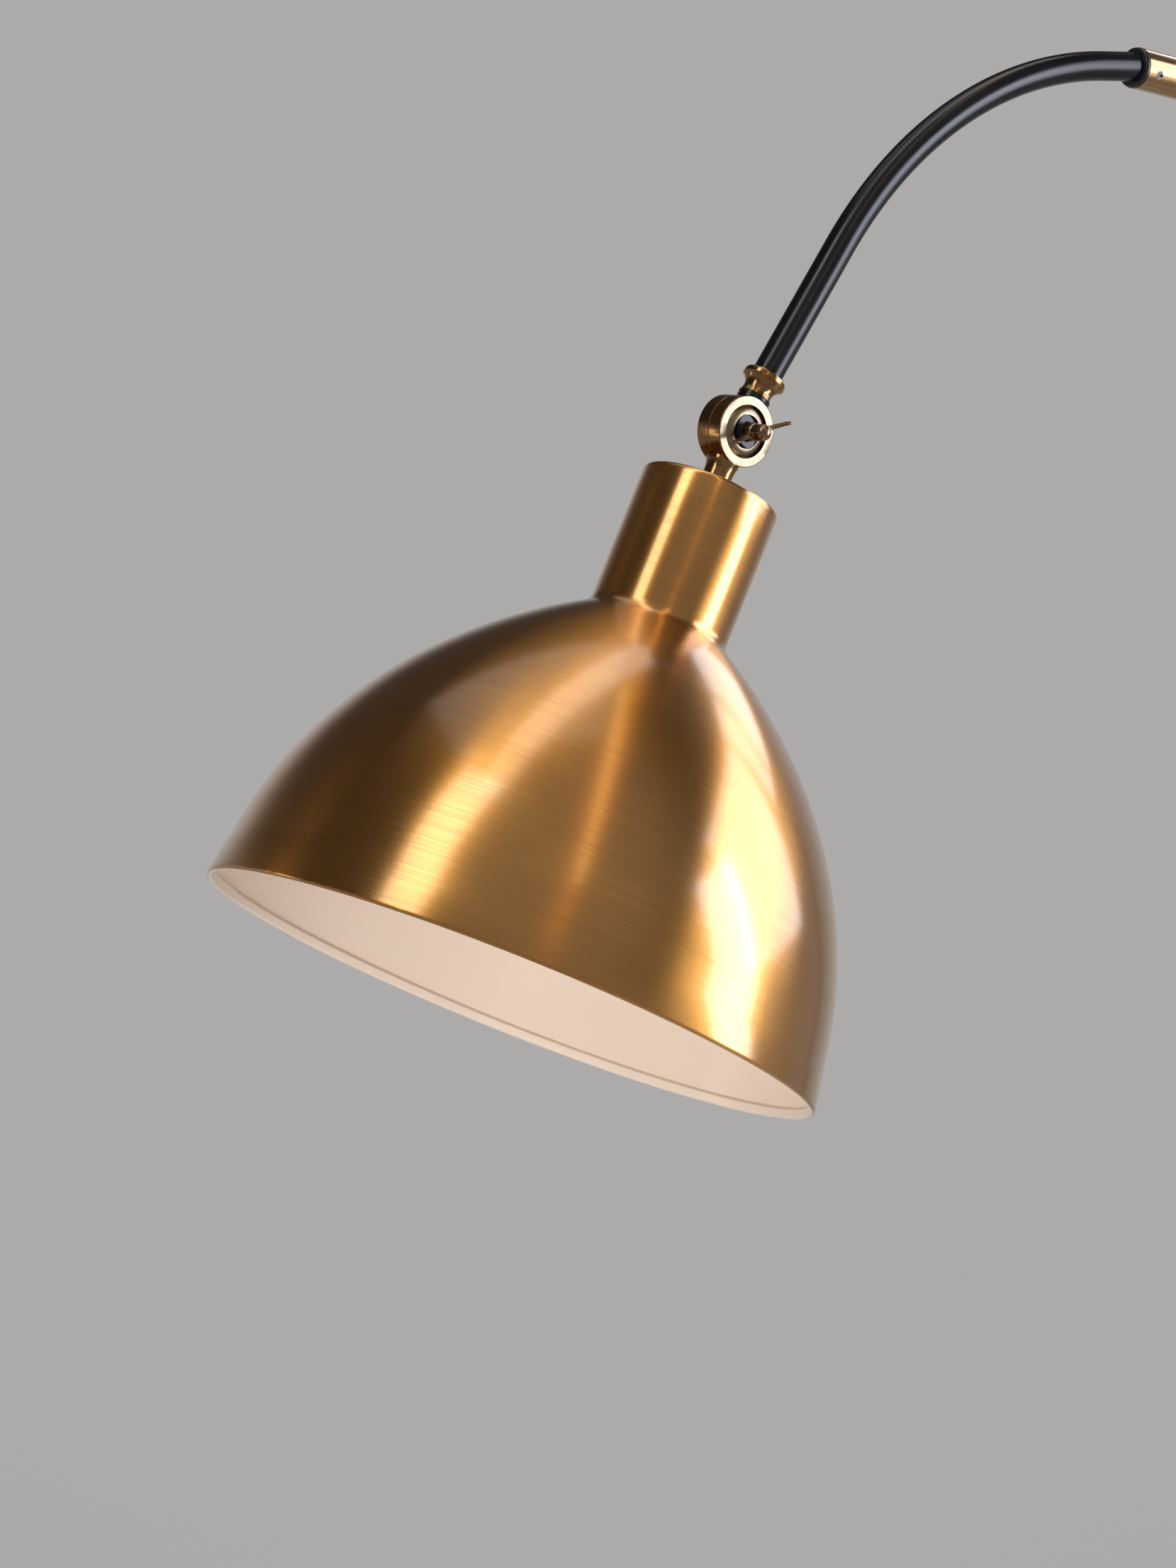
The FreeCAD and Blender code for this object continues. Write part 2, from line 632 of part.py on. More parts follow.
def make_rear_half(k, label):
    # This half holds the bolt's square neck and the stop pin.
    start = post_start(k, k.boss)
    post = [(0, start), (k.boss, start), (k.boss, k.boss_top), (k.spigot, k.boss_top),
            (k.spigot, k.rear_top), (0, k.rear_top)]
    side = 2 * (k.bolt + s.running)
    square = block(f"{k.kind}_square", side, k.web + 2 * s.overcut, side,
                   (0 - side / 2, k.inner - s.overcut, 0 - side / 2))
    pin_hole = rod(f"{k.kind}_pin_hole", k.pin + s.press, k.pin_seat,
                   (k.pin_at * sin(k.pin_angle), 0, k.pin_at * cos(k.pin_angle)), "+Y")
    half = bored_half(k, "rear", 1, k.bolt + s.running, post, k.rear_top, [square, pin_hole])
    return node(half, label)


def make_front_half(k, label, post, slot_from):
    # This half turns on the bolt. The stop pin runs in its curved slot, whose two ends set
    # how far the joint turns; slot_from is the lean of the slot's first end.
    gap = k.pin + s.clearance
    depth = k.pin_reach + s.clearance
    spare = s.clearance / k.pin_at * math.degrees(1)
    sweep = k.tilt_max_angle - k.tilt_min_angle + 2 * spare
    length = depth + s.overcut
    sector = rod(f"{k.kind}_slot_outer", k.pin_at + gap, length, (0, s.overcut, 0), "-Y")
    bind(sector, "Angle", sweep)
    core = rod(f"{k.kind}_slot_inner", k.pin_at - gap, length, (0, s.overcut, 0), "-Y")
    pieces = [cut(f"{k.kind}_slot_arc", sector, [core])]
    for i, angle in enumerate((as_size(0), sweep)):
        pieces.append(rod(f"{k.kind}_slot_end_{i}", gap, length,
                          (k.pin_at * cos(angle), s.overcut, k.pin_at * sin(angle)), "-Y"))
    slot = place(joined(f"{k.kind}_slot", pieces), 0, 0, slot_from + spare - 90)
    half = bored_half(k, "front", -1, k.bolt + s.running, post, k.front_top, [slot])
    return node(half, label)


def make_bolt(k, label):
    cap_round = (k.bolt_cap * k.bolt_cap + k.bolt_cap_thick * k.bolt_cap_thick) \
        / (2 * k.bolt_cap_thick)
    end = 0 - (k.seat + k.nut_height - k.nut_wall - s.clearance)
    shaft = turned(f"{k.kind}_bolt_shaft", [
        (0, end), (k.bolt - s.clearance, end), (k.bolt, end + s.clearance), (k.bolt, k.floor),
        (k.bolt_cap, k.floor), (0, k.floor + k.bolt_cap_thick, cap_round, 1),
    ], "XY_Plane")
    neck = block(f"{k.kind}_bolt_neck", 2 * k.bolt, k.web, 2 * k.bolt,
                 (0 - k.bolt, k.inner, 0 - k.bolt))
    return node(joined(f"{k.kind}_bolt_body", [shaft, neck]), label)


def make_stop_pin(k, label):
    pin = rod(f"{k.kind}_pin_rod", k.pin, k.pin_reach + k.pin_seat,
              (k.pin_at * sin(k.pin_angle), 0 - k.pin_reach, k.pin_at * cos(k.pin_angle)), "+Y")
    return node(wrapped(f"{k.kind}_pin_body", pin), label)


def make_friction_disc(k, label):
    disc = ring(f"{k.kind}_disc_ring", k.disc_bore, k.disc, 0 - k.disc_half, k.disc_half,
                "XY_Plane")
    return node(disc, label)


def make_cup_washer(k, label):
    # A pressed washer: flat where the wing nut stands, and domed up round it.
    floor = 0 - k.floor
    flat = floor - k.washer_thick
    crest = floor - k.washer_height
    washer = turned(f"{k.kind}_cup", [
        (k.bolt + s.running, floor), (k.bolt + s.running, flat), (k.washer_eye, flat),
        (k.washer_crest, crest), (k.washer, floor, k.washer_dome, 1),
        (k.washer - k.washer_thick, floor),
        (k.washer_crest + k.washer_thick, crest + k.washer_thick),
        (k.washer_eye + k.washer_thick, floor),
    ], "XY_Plane")
    return node(washer, label)


def make_wing_nut(k, label):
    # A flanged hub with a ball end, and two wings that sweep forward.
    low = 0 - k.seat
    tip = low - k.nut_height
    shoulder = low - k.nut_shoulder
    hub = turned(f"{k.kind}_nut_hub", [
        (k.bolt + s.running, low), (k.bolt + s.running, tip + k.nut_wall), (0, tip + k.nut_wall),
        (0, tip), (k.nut_ball, tip + k.nut_dome, k.nut_ball, 1), (k.nut_ball, shoulder),
        (k.nut, shoulder + k.nut_bevel), (k.nut, low - k.nut_flange),
        (k.nut_foot, low - k.nut_flange), (k.nut_foot, low),
    ], "XY_Plane")
    wide = k.wing_span - s.wing_tip_in
    inner = k.nut - k.wing_root_in
    right = [
        (inner, low - k.wing_root_low),
        (wide, low - k.wing_tip_low, k.wing_sweep, 1),
        (wide - s.wing_tip_in / 2, low - k.wing_tip_high, k.wing_tip_round, -1),
        (inner, low - k.wing_root_high, k.wing_sweep, 1),
    ]
    left = [
        (0 - inner, low - k.wing_root_high),
        (0 - (wide - s.wing_tip_in / 2), low - k.wing_tip_high, k.wing_sweep, 1),
        (0 - wide, low - k.wing_tip_low, k.wing_tip_round, -1),
        (0 - inner, low - k.wing_root_low, k.wing_sweep, 1),
    ]
    wings = sheet_cut(f"{k.kind}_nut_wings", right + left, k.wing_thick, "XY_Plane")
    core = rod(f"{k.kind}_nut_core", k.bolt + s.running, k.nut_height - k.nut_wall,
               (0, low, 0), "-Y")
    clear_wings = cut(f"{k.kind}_nut_wing_pair", wings, [core])
    return node(joined(f"{k.kind}_nut_body", [hub, clear_wings]), label)


def make_pole_knuckle():
    k = knuckle_sizes("pole")
    rear_lean = as_size(180)
    on_pole_top(make_rear_half(k, "pole_knuckle_rear"))
    on_pole_top(make_bolt(k, "pole_knuckle_bolt"))
    on_pole_top(make_stop_pin(k, "pole_stop_pin"))
    start = post_start(k, k.boss)
    post = [(0, start), (k.boss, start), (k.boss, k.boss_top), (k.spigot, k.boss_top),
            (k.spigot, k.front_top), (0, k.front_top)]
    slot_from = rear_lean + k.pin_angle - s.boom_lean - k.tilt_min_angle - 360
    on_boom(make_front_half(k, "pole_knuckle_front", post, slot_from))
    on_boom(make_friction_disc(k, "pole_friction_disc"))
    on_boom(make_cup_washer(k, "pole_cup_washer"))
    nut = make_wing_nut(k, "pole_wing_nut")
    place(nut, 0, s.pivot_height, 0 - k.wing_angle)


def make_head_knuckle():
    k = knuckle_sizes("head")
    on_arm(make_rear_half(k, "head_knuckle_rear"))
    on_arm(make_bolt(k, "head_knuckle_bolt"))
    on_arm(make_stop_pin(k, "head_stop_pin"))
    flare = s.stem_radius + s.stem_flare
    start = post_start(k, flare)
    post = [(0, start), (flare, start), (flare, k.barrel),
            (s.stem_radius, k.barrel + s.stem_flare_height, s.stem_flare_bend, -1),
            (s.stem_radius, s.stem_length), (k.spigot, s.stem_length),
            (k.spigot, k.front_top), (0, k.front_top)]
    slot_from = s.arm_lean + k.pin_angle - (s.shade_angle - 180) - k.tilt_min_angle - 360
    on_head(make_front_half(k, "head_knuckle_front", post, slot_from))
    on_head(make_friction_disc(k, "head_friction_disc"))
    on_head(make_cup_washer(k, "head_cup_washer"))
    nut = make_wing_nut(k, "head_wing_nut")
    place(nut, s.head_x, s.head_z, 0 - k.wing_angle)


# ---- boom and arm -----------------------------------------------------------------------

def spool(name, low, foot, waist, waist_at, ring_at, wide, bend, rounded, top, seat, bore, socket):
    # A turned collar: a foot, a hollow waist and a rounded ring, bored for the spigot below
    # and counterbored for the tube above.
    return turned(name, [
        (bore, low), (foot, low), (waist, waist_at), (wide, ring_at, bend, -1),
        (wide, top - rounded), (wide - rounded, top, rounded, 1), (socket, top),
        (socket, seat), (bore, seat),
    ])


def make_boom():
    collar = spool("boom_spool", s.pole_boss_top, s.boom_collar_foot, s.boom_collar_waist,
                   s.boom_collar_waist_at, s.boom_collar_ring_at, s.boom_collar_ring,
                   s.boom_collar_bend, s.ring_bead, s.boom_collar_top, s.boom_seat,
                   s.pole_spigot + s.press, s.boom_radius + s.press)
    node(on_boom(collar), "boom_collar")

    inner = s.boom_radius - s.boom_wall
    end = s.boom_length - s.bush_flange
    grub_at = s.boom_length - s.grub_from_face
    tube = ring("boom_pipe", inner, s.boom_radius, s.boom_seat, end)
    node(on_boom(cut("boom_pipe_drilled", tube, [grub_hole("boom_pipe_hole", grub_at)])),
         "boom_tube")

    bore = s.arm_radius + s.press
    bush = turned("bush", [
        (bore, s.boom_length - s.bush_length), (inner - s.press, s.boom_length - s.bush_length),
        (inner - s.press, end), (s.bush_radius, end), (s.bush_radius, s.boom_length - s.bush_round),
        (s.bush_radius - s.bush_round, s.boom_length, s.bush_round, 1), (bore, s.boom_length),
    ])
    node(on_boom(cut("bush_drilled", bush, [grub_hole("bush_hole", grub_at)])), "boom_bush")

    length = s.boom_radius - s.arm_radius - 2 * s.press
    start = s.arm_radius + s.press
    body = rod("grub_body", s.grub_radius, length, (0, 0 - start, grub_at), "-Y")
    wide = s.grub_radius + s.overcut
    slot = block("grub_slot_cut", s.grub_slot, s.grub_slot_depth + s.overcut, 2 * wide,
                 (0 - s.grub_slot / 2, 0 - (start + length + s.overcut), grub_at - wide))
    screw = dipped(cut("grub", body, [slot]))
    node(on_boom(wrapped("grub_placed", screw)), "boom_grub_screw")


def dipped(obj):
    # Turned about the boom's axis, from straight at the front to a little below it.
    obj.Placement = FreeCAD.Placement(
        FreeCAD.Vector(), FreeCAD.Rotation(FreeCAD.Vector(0, 0, -1), s.grub_angle.number))
    bind(obj, "Placement.Rotation.Angle", s.grub_angle)
    return obj


def grub_hole(name, at):
    drill = rod(name + "_drill", s.grub_radius + s.press, s.boom_radius + s.overcut,
                (0, 0, at), "-Y")
    return dipped(wrapped(name, drill))


def make_arm():
    # A bent tube: straight from the collar, round the hook, and kinked into the boom's bush.
    body = doc.addObject("PartDesign::Body", "arm_pipe")
    path = new_sketch(body, "arm_path", "XZ_Plane")
    trace(path, [
        (0, s.collar_seat),
        (0, s.arm_straight_length),
        (s.bend_end_x, s.bend_end_z, s.arm_bend_radius, -1),
        (s.tail_end_x, s.tail_end_z),
        (s.kink_end_x, s.kink_end_z, s.arm_kink_radius, -1),
        (s.tang_end_x, s.tang_end_z),
    ], closed=False)
    profile = new_sketch(body, "arm_section", "XY_Plane")
    profile.AttachmentOffset = FreeCAD.Placement(
        FreeCAD.Vector(0, 0, s.collar_seat.number), FreeCAD.Rotation())
    bind(profile, "AttachmentOffset.Base.z", s.collar_seat)
    for radius in (s.arm_radius, s.arm_radius - s.arm_wall):
        circle = profile.addGeometry(
            Part.Circle(FreeCAD.Vector(), FreeCAD.Vector(0, 0, 1), radius.number), False)
        profile.addConstraint(Sketcher.Constraint("Coincident", circle, 3, -1, 1))
        index = profile.addConstraint(Sketcher.Constraint("Radius", circle, radius.number))
        bind(profile, f"Constraints[{index}]", radius)
    pipe = body.newObject("PartDesign::AdditivePipe", "arm_sweep")
    pipe.Profile = profile
    pipe.Spine = (path, [f"Edge{i + 1}" for i in range(5)])
    node(on_arm(body), "hook_arm")

    collar = spool("arm_spool", s.head_boss_top, s.collar_foot, s.collar_waist,
                   s.collar_waist_at, s.collar_ring_at, s.collar_ring, s.collar_bend,
                   s.collar_round, s.collar_top, s.collar_seat,
                   s.head_spigot + s.press, s.arm_radius + s.press)
    node(on_arm(collar), "arm_collar")


# ---- shade ------------------------------------------------------------------------------

def make_shade():
    # One spun shell. Its outline leaves the neck by a hollow fillet, rounds the crown,
    # shoulder and belly by three arcs of falling angle, and ends in a straight skirt.
    wall = s.shade_wall
    angles = [s.crown_angle, s.shoulder_angle, s.belly_angle, s.skirt_angle]
    radii = [s.crown_radius, s.shoulder_radius, s.belly_radius]
    r = derive("crown_start_r", s.neck_radius + s.crown_fillet * (1 - cos(s.crown_angle)))
    z = derive("crown_start_z",
               s.stem_length + s.neck_length + s.crown_fillet * sin(s.crown_angle))
    corners = [(r, z)]
    for i, name in enumerate(("crown", "shoulder", "belly")):
        start, finish = angles[i], angles[i + 1]
        r = derive(f"{name}_end_r", r + radii[i] * (cos(finish) - cos(start)))
        z = derive(f"{name}_end_z", z + radii[i] * (sin(start) - sin(finish)))
        corners.append((r, z))
    along = (sin(s.skirt_angle), cos(s.skirt_angle))
    inward = (0 - cos(s.skirt_angle), sin(s.skirt_angle))

    def rim(down, across):
        return (r + along[0] * down + inward[0] * across, z + along[1] * down + inward[1] * across)

    def inner(i):
        return (corners[i][0] - wall * cos(angles[i]), corners[i][1] + wall * sin(angles[i]))

    half = s.hem_depth / 2
    top = s.stem_length
    outline = [
        (s.head_spigot + s.press, top),
        (s.neck_radius - s.neck_round, top),
        (s.neck_radius, top + s.neck_round, s.neck_round, 1),
        (s.neck_radius, top + s.neck_length),
        corners[0] + (s.crown_fillet, -1),
        corners[1] + (s.crown_radius, 1),
        corners[2] + (s.shoulder_radius, 1),
        corners[3] + (s.belly_radius, 1),
        rim(s.skirt_length, 0),
        rim(s.skirt_length + half, half) + (half, 1),
        rim(s.skirt_length, s.hem_depth) + (half, 1),
        rim(s.skirt_length - s.hem_height, s.hem_depth),
        rim(s.skirt_length - s.hem_height, wall),
        inner(3),
        inner(2) + (s.belly_radius - wall, -1),
        inner(1) + (s.shoulder_radius - wall, -1),
        inner(0) + (s.crown_radius - wall, -1),
        (s.neck_radius - wall, top + s.neck_length, s.crown_fillet + wall, 1),
        (s.neck_radius - wall, top + s.neck_round),
        (s.neck_radius - s.neck_round, top + wall, s.neck_round - wall, -1),
        (s.head_spigot + s.press, top + wall),
    ]
    node(on_head(turned("shade_shell", outline)), "shade")


# ---- lampholder -------------------------------------------------------------------------

def make_lampholder():
    thread = s.head_spigot + s.press
    washer_low = s.stem_length + s.shade_wall
    nut_low = washer_low + s.shade_washer_thick
    cap_low = nut_low + s.shade_nut_thick + s.cap_drop
    node(on_head(ring("shade_flat", thread, s.shade_washer_radius, washer_low, nut_low)),
         "shade_washer")
    nut = cut("shade_hex",
              hexagon("shade_hex_body", s.shade_nut_flats, s.shade_nut_thick, (0, 0, nut_low)),
              [rod("shade_hex_bore", thread, s.shade_nut_thick, (0, 0, nut_low))])
    node(on_head(nut), "shade_nut")

    wall = s.cap_wall
    shoulder = cap_low + s.cap_neck_height
    round_end = shoulder + s.cap_round
    end = cap_low + s.cap_height
    cap = turned("cap", [
        (thread, cap_low), (s.cap_neck, cap_low), (s.cap_neck, shoulder),
        (s.cap_radius - s.cap_round, shoulder), (s.cap_radius, round_end, s.cap_round, 1),
        (s.cap_radius, end), (s.cap_radius - wall, end), (s.cap_radius - wall, round_end),
        (s.cap_radius - s.cap_round, shoulder + wall, s.cap_round - wall, -1),
        (thread, shoulder + wall),
    ])
    node(on_head(cap), "holder_cap")

    shell_low = end - s.holder_overlap
    shell_end = shell_low + s.holder_length
    bore = s.holder_radius - s.holder_wall
    shell = turned("holder_tube", [
        (s.cap_radius + s.press, shell_low), (s.holder_radius, shell_low),
        (s.holder_radius, shell_end - s.holder_round),
        (s.holder_radius - s.holder_round, shell_end, s.holder_round, 1),
        (s.holder_lip, shell_end), (s.holder_lip, shell_end - s.holder_lip_thick),
        (bore, shell_end - s.holder_lip_thick), (bore, end), (s.cap_radius + s.press, end),
    ])
    node(on_head(shell), "holder_shell")

    core_low = cap_low + s.core_drop
    core_end = core_low + s.core_thick
    well_low = core_end - s.contact_height - s.contact_sunk
    foot = s.contact_radius + s.contact_foot
    well = foot + s.contact_thick + s.clearance
    core = turned("core", [
        (0, core_low), (s.core_radius, core_low), (s.core_radius, core_end), (well, core_end),
        (well, well_low), (0, well_low),
    ])
    screws = [rod(f"core_hole_{i}", s.core_hole, s.core_thick, (0, i * s.core_hole_at, core_low))
              for i in (-1, 1)]
    node(on_head(cut("core_drilled", core, screws)), "holder_core")

    sleeve_end = shell_end - s.holder_lip_thick
    outer = s.thread_radius + s.thread_wall
    sleeve = turned("sleeve", [
        (s.thread_radius, core_end), (s.thread_flange, core_end),
        (s.thread_flange, core_end + s.thread_wall), (outer, core_end + s.thread_wall),
        (outer, sleeve_end), (s.thread_radius, sleeve_end),
    ])
    node(on_head(sleeve), "socket_sleeve")

    # The contact is a domed spring on a footed rim, sunk in the core's well.
    tip = well_low + s.contact_height
    thick = s.contact_thick
    contact = turned("contact", [
        (0, tip), (0, tip - thick), (s.contact_radius, well_low + thick),
        (foot, well_low + thick), (foot, well_low), (foot + thick, well_low),
        (foot + thick, well_low + 2 * thick), (s.contact_radius + thick, well_low + 2 * thick),
    ])
    node(on_head(contact), "centre_contact")


# ---- build and write --------------------------------------------------------------------

make_base()
make_pole()
make_swivel()
make_pole_knuckle()
make_boom()
make_arm()
make_head_knuckle()
make_shade()
make_lampholder()
doc.recompute()

for obj in doc.Objects:
    if "Invalid" in obj.State or "Error" in obj.State:
        raise RuntimeError(f"{obj.Label} failed: {obj.State}")
labels = [obj.Label for obj in nodes]
if len(set(labels)) != len(labels):
    raise RuntimeError("two sub-parts share a name")
for obj in nodes:
    if obj.Shape.isNull() or not obj.Shape.isValid():
        raise RuntimeError(f"{obj.Label} has no valid shape")
    if len(obj.Shape.Solids) != 1:
        raise RuntimeError(f"{obj.Label} is {len(obj.Shape.Solids)} solids")
for obj in nodes:
    obj.Shape.exportStep(f"parts/{obj.Label}.step")
print(f"{len(nodes)} sub-parts")
for alias in ("pivot_height", "head_x", "head_z", "mouth_x", "mouth_z"):
    print(alias, round(sheet.get(alias), 4))
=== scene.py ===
import json
import math

import bmesh
import bpy
import numpy as np
from mathutils import Matrix, Vector


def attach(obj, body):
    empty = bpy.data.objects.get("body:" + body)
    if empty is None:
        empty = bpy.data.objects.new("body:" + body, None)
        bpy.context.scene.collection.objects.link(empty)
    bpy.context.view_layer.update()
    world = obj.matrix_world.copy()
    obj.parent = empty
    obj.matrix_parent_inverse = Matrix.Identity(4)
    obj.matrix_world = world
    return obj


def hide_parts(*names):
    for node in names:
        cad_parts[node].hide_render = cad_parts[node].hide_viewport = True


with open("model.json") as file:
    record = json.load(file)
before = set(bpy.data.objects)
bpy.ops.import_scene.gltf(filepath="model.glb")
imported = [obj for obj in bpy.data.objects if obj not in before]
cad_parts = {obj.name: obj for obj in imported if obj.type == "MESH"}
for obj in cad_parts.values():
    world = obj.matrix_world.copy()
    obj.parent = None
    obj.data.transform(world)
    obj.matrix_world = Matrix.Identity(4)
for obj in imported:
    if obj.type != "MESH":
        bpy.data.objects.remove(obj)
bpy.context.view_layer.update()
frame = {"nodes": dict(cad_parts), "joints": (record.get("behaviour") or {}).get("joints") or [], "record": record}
nodes = frame["nodes"]
jointAt = {joint["name"]: Vector(joint["pos_m"]) for joint in frame["joints"]}
print("frame loaded:", len(nodes), "nodes")

mm = 0.001
mergeGap = 0.000002              # corners closer than this, in metres, are one corner
shortestEdge = 0.000001          # edges under this are dissolved

# Each group of pieces is drawn in its own frame: +Z along its axis, which leans this many
# degrees from up towards +X.
leans = {
    "head": 28.42 - 180,
    "arm": 37.8,
    "boom": -80.4,
    "down": 180,
}


def leaning(place, lean):
    return Matrix.Translation(place) @ Matrix.Rotation(math.radians(leans[lean]), 4, "Y")


headFrame = leaning(jointAt["head_tilt"], "head")
armFrame = leaning(jointAt["head_tilt"], "arm")
boomFrame = leaning(jointAt["boom_tilt"], "boom")
swivelFrame = leaning(jointAt["boom_tilt"], "down")
standFrame = Matrix.Identity(4)
alongY = Matrix.Rotation(math.radians(-90), 4, "X")         # turns a piece's +Z to +Y


def addObject(name, data):
    made = bpy.data.objects.new(name, data)
    bpy.context.collection.objects.link(made)
    return made


def addNode(tree, kind, **settings):
    made = tree.nodes.new(kind)
    for name, value in settings.items():
        setattr(made, name, value)
    return made


def feed(tree, target, value):
    # Gives a node's input another node's output, or a constant.
    if isinstance(value, bpy.types.NodeSocket):
        tree.links.new(value, target)
    else:
        target.default_value = value


def rangeNode(tree, value, low, high, fromLow=0.3, fromHigh=0.7, interpolation="LINEAR"):
    # Most of a noise texture lies between 0.3 and 0.7.
    made = addNode(tree, "ShaderNodeMapRange", interpolation_type=interpolation)
    made.inputs["From Min"].default_value = fromLow
    made.inputs["From Max"].default_value = fromHigh
    made.inputs["To Min"].default_value = low
    made.inputs["To Max"].default_value = high
    tree.links.new(value, made.inputs["Value"])
    return made.outputs["Result"]


def mixColours(tree, factor, first, second):
    made = addNode(tree, "ShaderNodeMix", data_type="RGBA")
    feed(tree, made.inputs["A"], first)
    feed(tree, made.inputs["B"], second)
    tree.links.new(factor, made.inputs["Factor"])
    return made.outputs["Result"]


# camera, floor and lights

view = {
    "place": (-1.751065, -1.324809, 1.509116),
    "pitch": 81.6577,
    "heading": -39.2252,
    "roll": -0.18436,
    "lens": 97.58,
    "frameHeight": 36,
}
turn = (Matrix.Rotation(math.radians(view["heading"]), 4, "Z")
        @ Matrix.Rotation(math.radians(view["pitch"]), 4, "X")
        @ Matrix.Rotation(math.radians(view["roll"]), 4, "Z"))
lens = bpy.data.cameras.new("viewCamera")
lens.sensor_fit = "VERTICAL"
lens.sensor_height = view["frameHeight"]
lens.lens = view["lens"]
camera = addObject("viewCamera", lens)
camera.matrix_world = Matrix.Translation(view["place"]) @ turn
bpy.context.scene.camera = camera
bpy.context.scene.view_settings.view_transform = "Standard"

studio = {
    "floorRadius": 2.1,
    "floorCorners": 96,
    "floorRoughness": 0.9,
    "floorFadesFrom": 0.45,      # past this radius the floor melts into the backdrop
    "floorColour": (0.74, 0.72, 0.70, 1),
    "horizonColour": (0.42, 0.408, 0.399, 1),
    "sideColour": (0.27, 0.259, 0.25, 1),    # the backdrop away from the side behind the lamp
    "backdropCentre": (0.643, 0.766, 0),
    "backdropFrom": 0.76,        # the cosine from its centre where it starts to show
    "backdropTo": 0.965,         # and where it is whole; the room's are the same
    "ceilingColour": (0.05, 0.044, 0.04, 1),
    "ceilingFrom": 0.06,         # sine of the elevation where the backdrop starts to darken
    "ceilingTo": 0.36,
    "roomColour": (0.30, 0.285, 0.265, 1),   # the room on the viewer's side
    "roomCentre": (-0.173, -0.646, 0.743),
    "roomFrom": 0.6,
    "roomTo": 0.95,
    "aim": (-0.66, 0, 1.28),     # the lamps stand round this point and face it
    "lamps": {
        # azimuth, elevation, roll, reach, width, height, radiance, colour
        "keyBox": (-26, 15, 0, 1.5, 0.95, 0.95, 2.9, (0.91, 0.965, 1.09)),
        "crownBox": (10, 24, 0, 1.5, 0.7, 0.5, 2.4, (0.91, 0.965, 1.09)),
        "faceBox": (-48, 3, 0, 1.5, 0.5, 1.15, 5.4, (0.91, 0.965, 1.09)),
        "leftBox": (-174, 52, 0, 1.5, 0.40, 1.1, 3.3, (1, 1, 0.88)),
        "ridgeBox": (20, 80, 0, 1.5, 0.26, 1.9, 1.6, (1, 0.95, 0.85)),
        "warmStrip": (-69, 63, 33, 1.5, 1.9, 0.1, 1.8, (1, 0.68, 0.26)),
        "rimBox": (135, 2, 0, 1.5, 0.3, 0.4, 1.8, (1, 0.82, 0.55)),
        "lowFill": (-152, -12, 0, 1.4, 1.3, 0.8, 4.6, (1, 0.92, 0.84)),
        "topFill": (60, 74, 0, 2.2, 1.6, 1.6, 0.5, (1, 0.98, 0.96)),
    },
    "diffuseOnly": ("lowFill",),             # lamps that metal and gloss don't mirror
}


def makeFloor():
    count = studio["floorCorners"]
    angles = [2 * math.pi * i / count for i in range(count)]
    ring = [(studio["floorRadius"] * math.cos(angle), studio["floorRadius"] * math.sin(angle), 0)
            for angle in angles]
    mesh = bpy.data.meshes.new("studioFloor")
    mesh.from_pydata(ring, [], [list(range(count))])
    floor = addObject("studioFloor", mesh)
    paint = bpy.data.materials.new("floorPaint")
    paint.use_nodes = True
    mesh.materials.append(paint)
    tree = paint.node_tree
    shader = tree.nodes["Principled BSDF"]
    shader.inputs["Base Color"].default_value = studio["floorColour"]
    shader.inputs["Roughness"].default_value = studio["floorRoughness"]
    where = addNode(tree, "ShaderNodeTexCoord")
    reach = addNode(tree, "ShaderNodeVectorMath", operation="LENGTH")
    tree.links.new(where.outputs["Object"], reach.inputs[0])
    solid = rangeNode(tree, reach.outputs["Value"], 1, 0, studio["floorFadesFrom"],
                      studio["floorRadius"], "SMOOTHSTEP")
    tree.links.new(solid, shader.inputs["Alpha"])


def nearness(tree, direction, side):
    # 1 towards the centre of that side of the studio and 0 away from it.
    facing = addNode(tree, "ShaderNodeVectorMath", operation="DOT_PRODUCT")
    facing.inputs[1].default_value = studio[side + "Centre"]
    tree.links.new(direction, facing.inputs[0])
    return rangeNode(tree, facing.outputs["Value"], 0, 1, studio[side + "From"],
                     studio[side + "To"], "SMOOTHSTEP")


def makeWorld():
    world = bpy.data.worlds.new("studioWorld")
    world.use_nodes = True
    bpy.context.scene.world = world
    tree = world.node_tree
    direction = addNode(tree, "ShaderNodeTexCoord").outputs["Generated"]
    split = addNode(tree, "ShaderNodeSeparateXYZ")
    tree.links.new(direction, split.inputs[0])
    upwards = rangeNode(tree, split.outputs["Z"], 0, 1, studio["ceilingFrom"],
                        studio["ceilingTo"], "SMOOTHSTEP")
    walls = mixColours(tree, nearness(tree, direction, "backdrop"), studio["sideColour"],
                       studio["horizonColour"])
    shell = mixColours(tree, upwards, walls, studio["ceilingColour"])
    whole = mixColours(tree, nearness(tree, direction, "room"), shell, studio["roomColour"])
    tree.links.new(whole, tree.nodes["Background"].inputs["Color"])


def makeLamps():
    aim = Vector(studio["aim"])
    for name, lamp in studio["lamps"].items():
        azimuth, elevation, roll, reach, width, height, radiance, colour = lamp
        east, up = math.radians(azimuth), math.radians(elevation)
        away = Vector((math.cos(up) * math.cos(east), math.cos(up) * math.sin(east),
                       math.sin(up)))
        light = bpy.data.lights.new(name, "AREA")
        light.shape = "RECTANGLE"
        light.size = width
        light.size_y = height
        light.energy = radiance * math.pi * width * height
        light.color = colour
        stand = addObject(name, light)
        stand.matrix_world = (Matrix.Translation(aim + away * reach)
                              @ away.to_track_quat("Z", "Y").to_matrix().to_4x4()
                              @ Matrix.Rotation(math.radians(roll), 4, "Z"))
        stand.visible_camera = False
        stand.visible_glossy = name not in studio["diffuseOnly"]


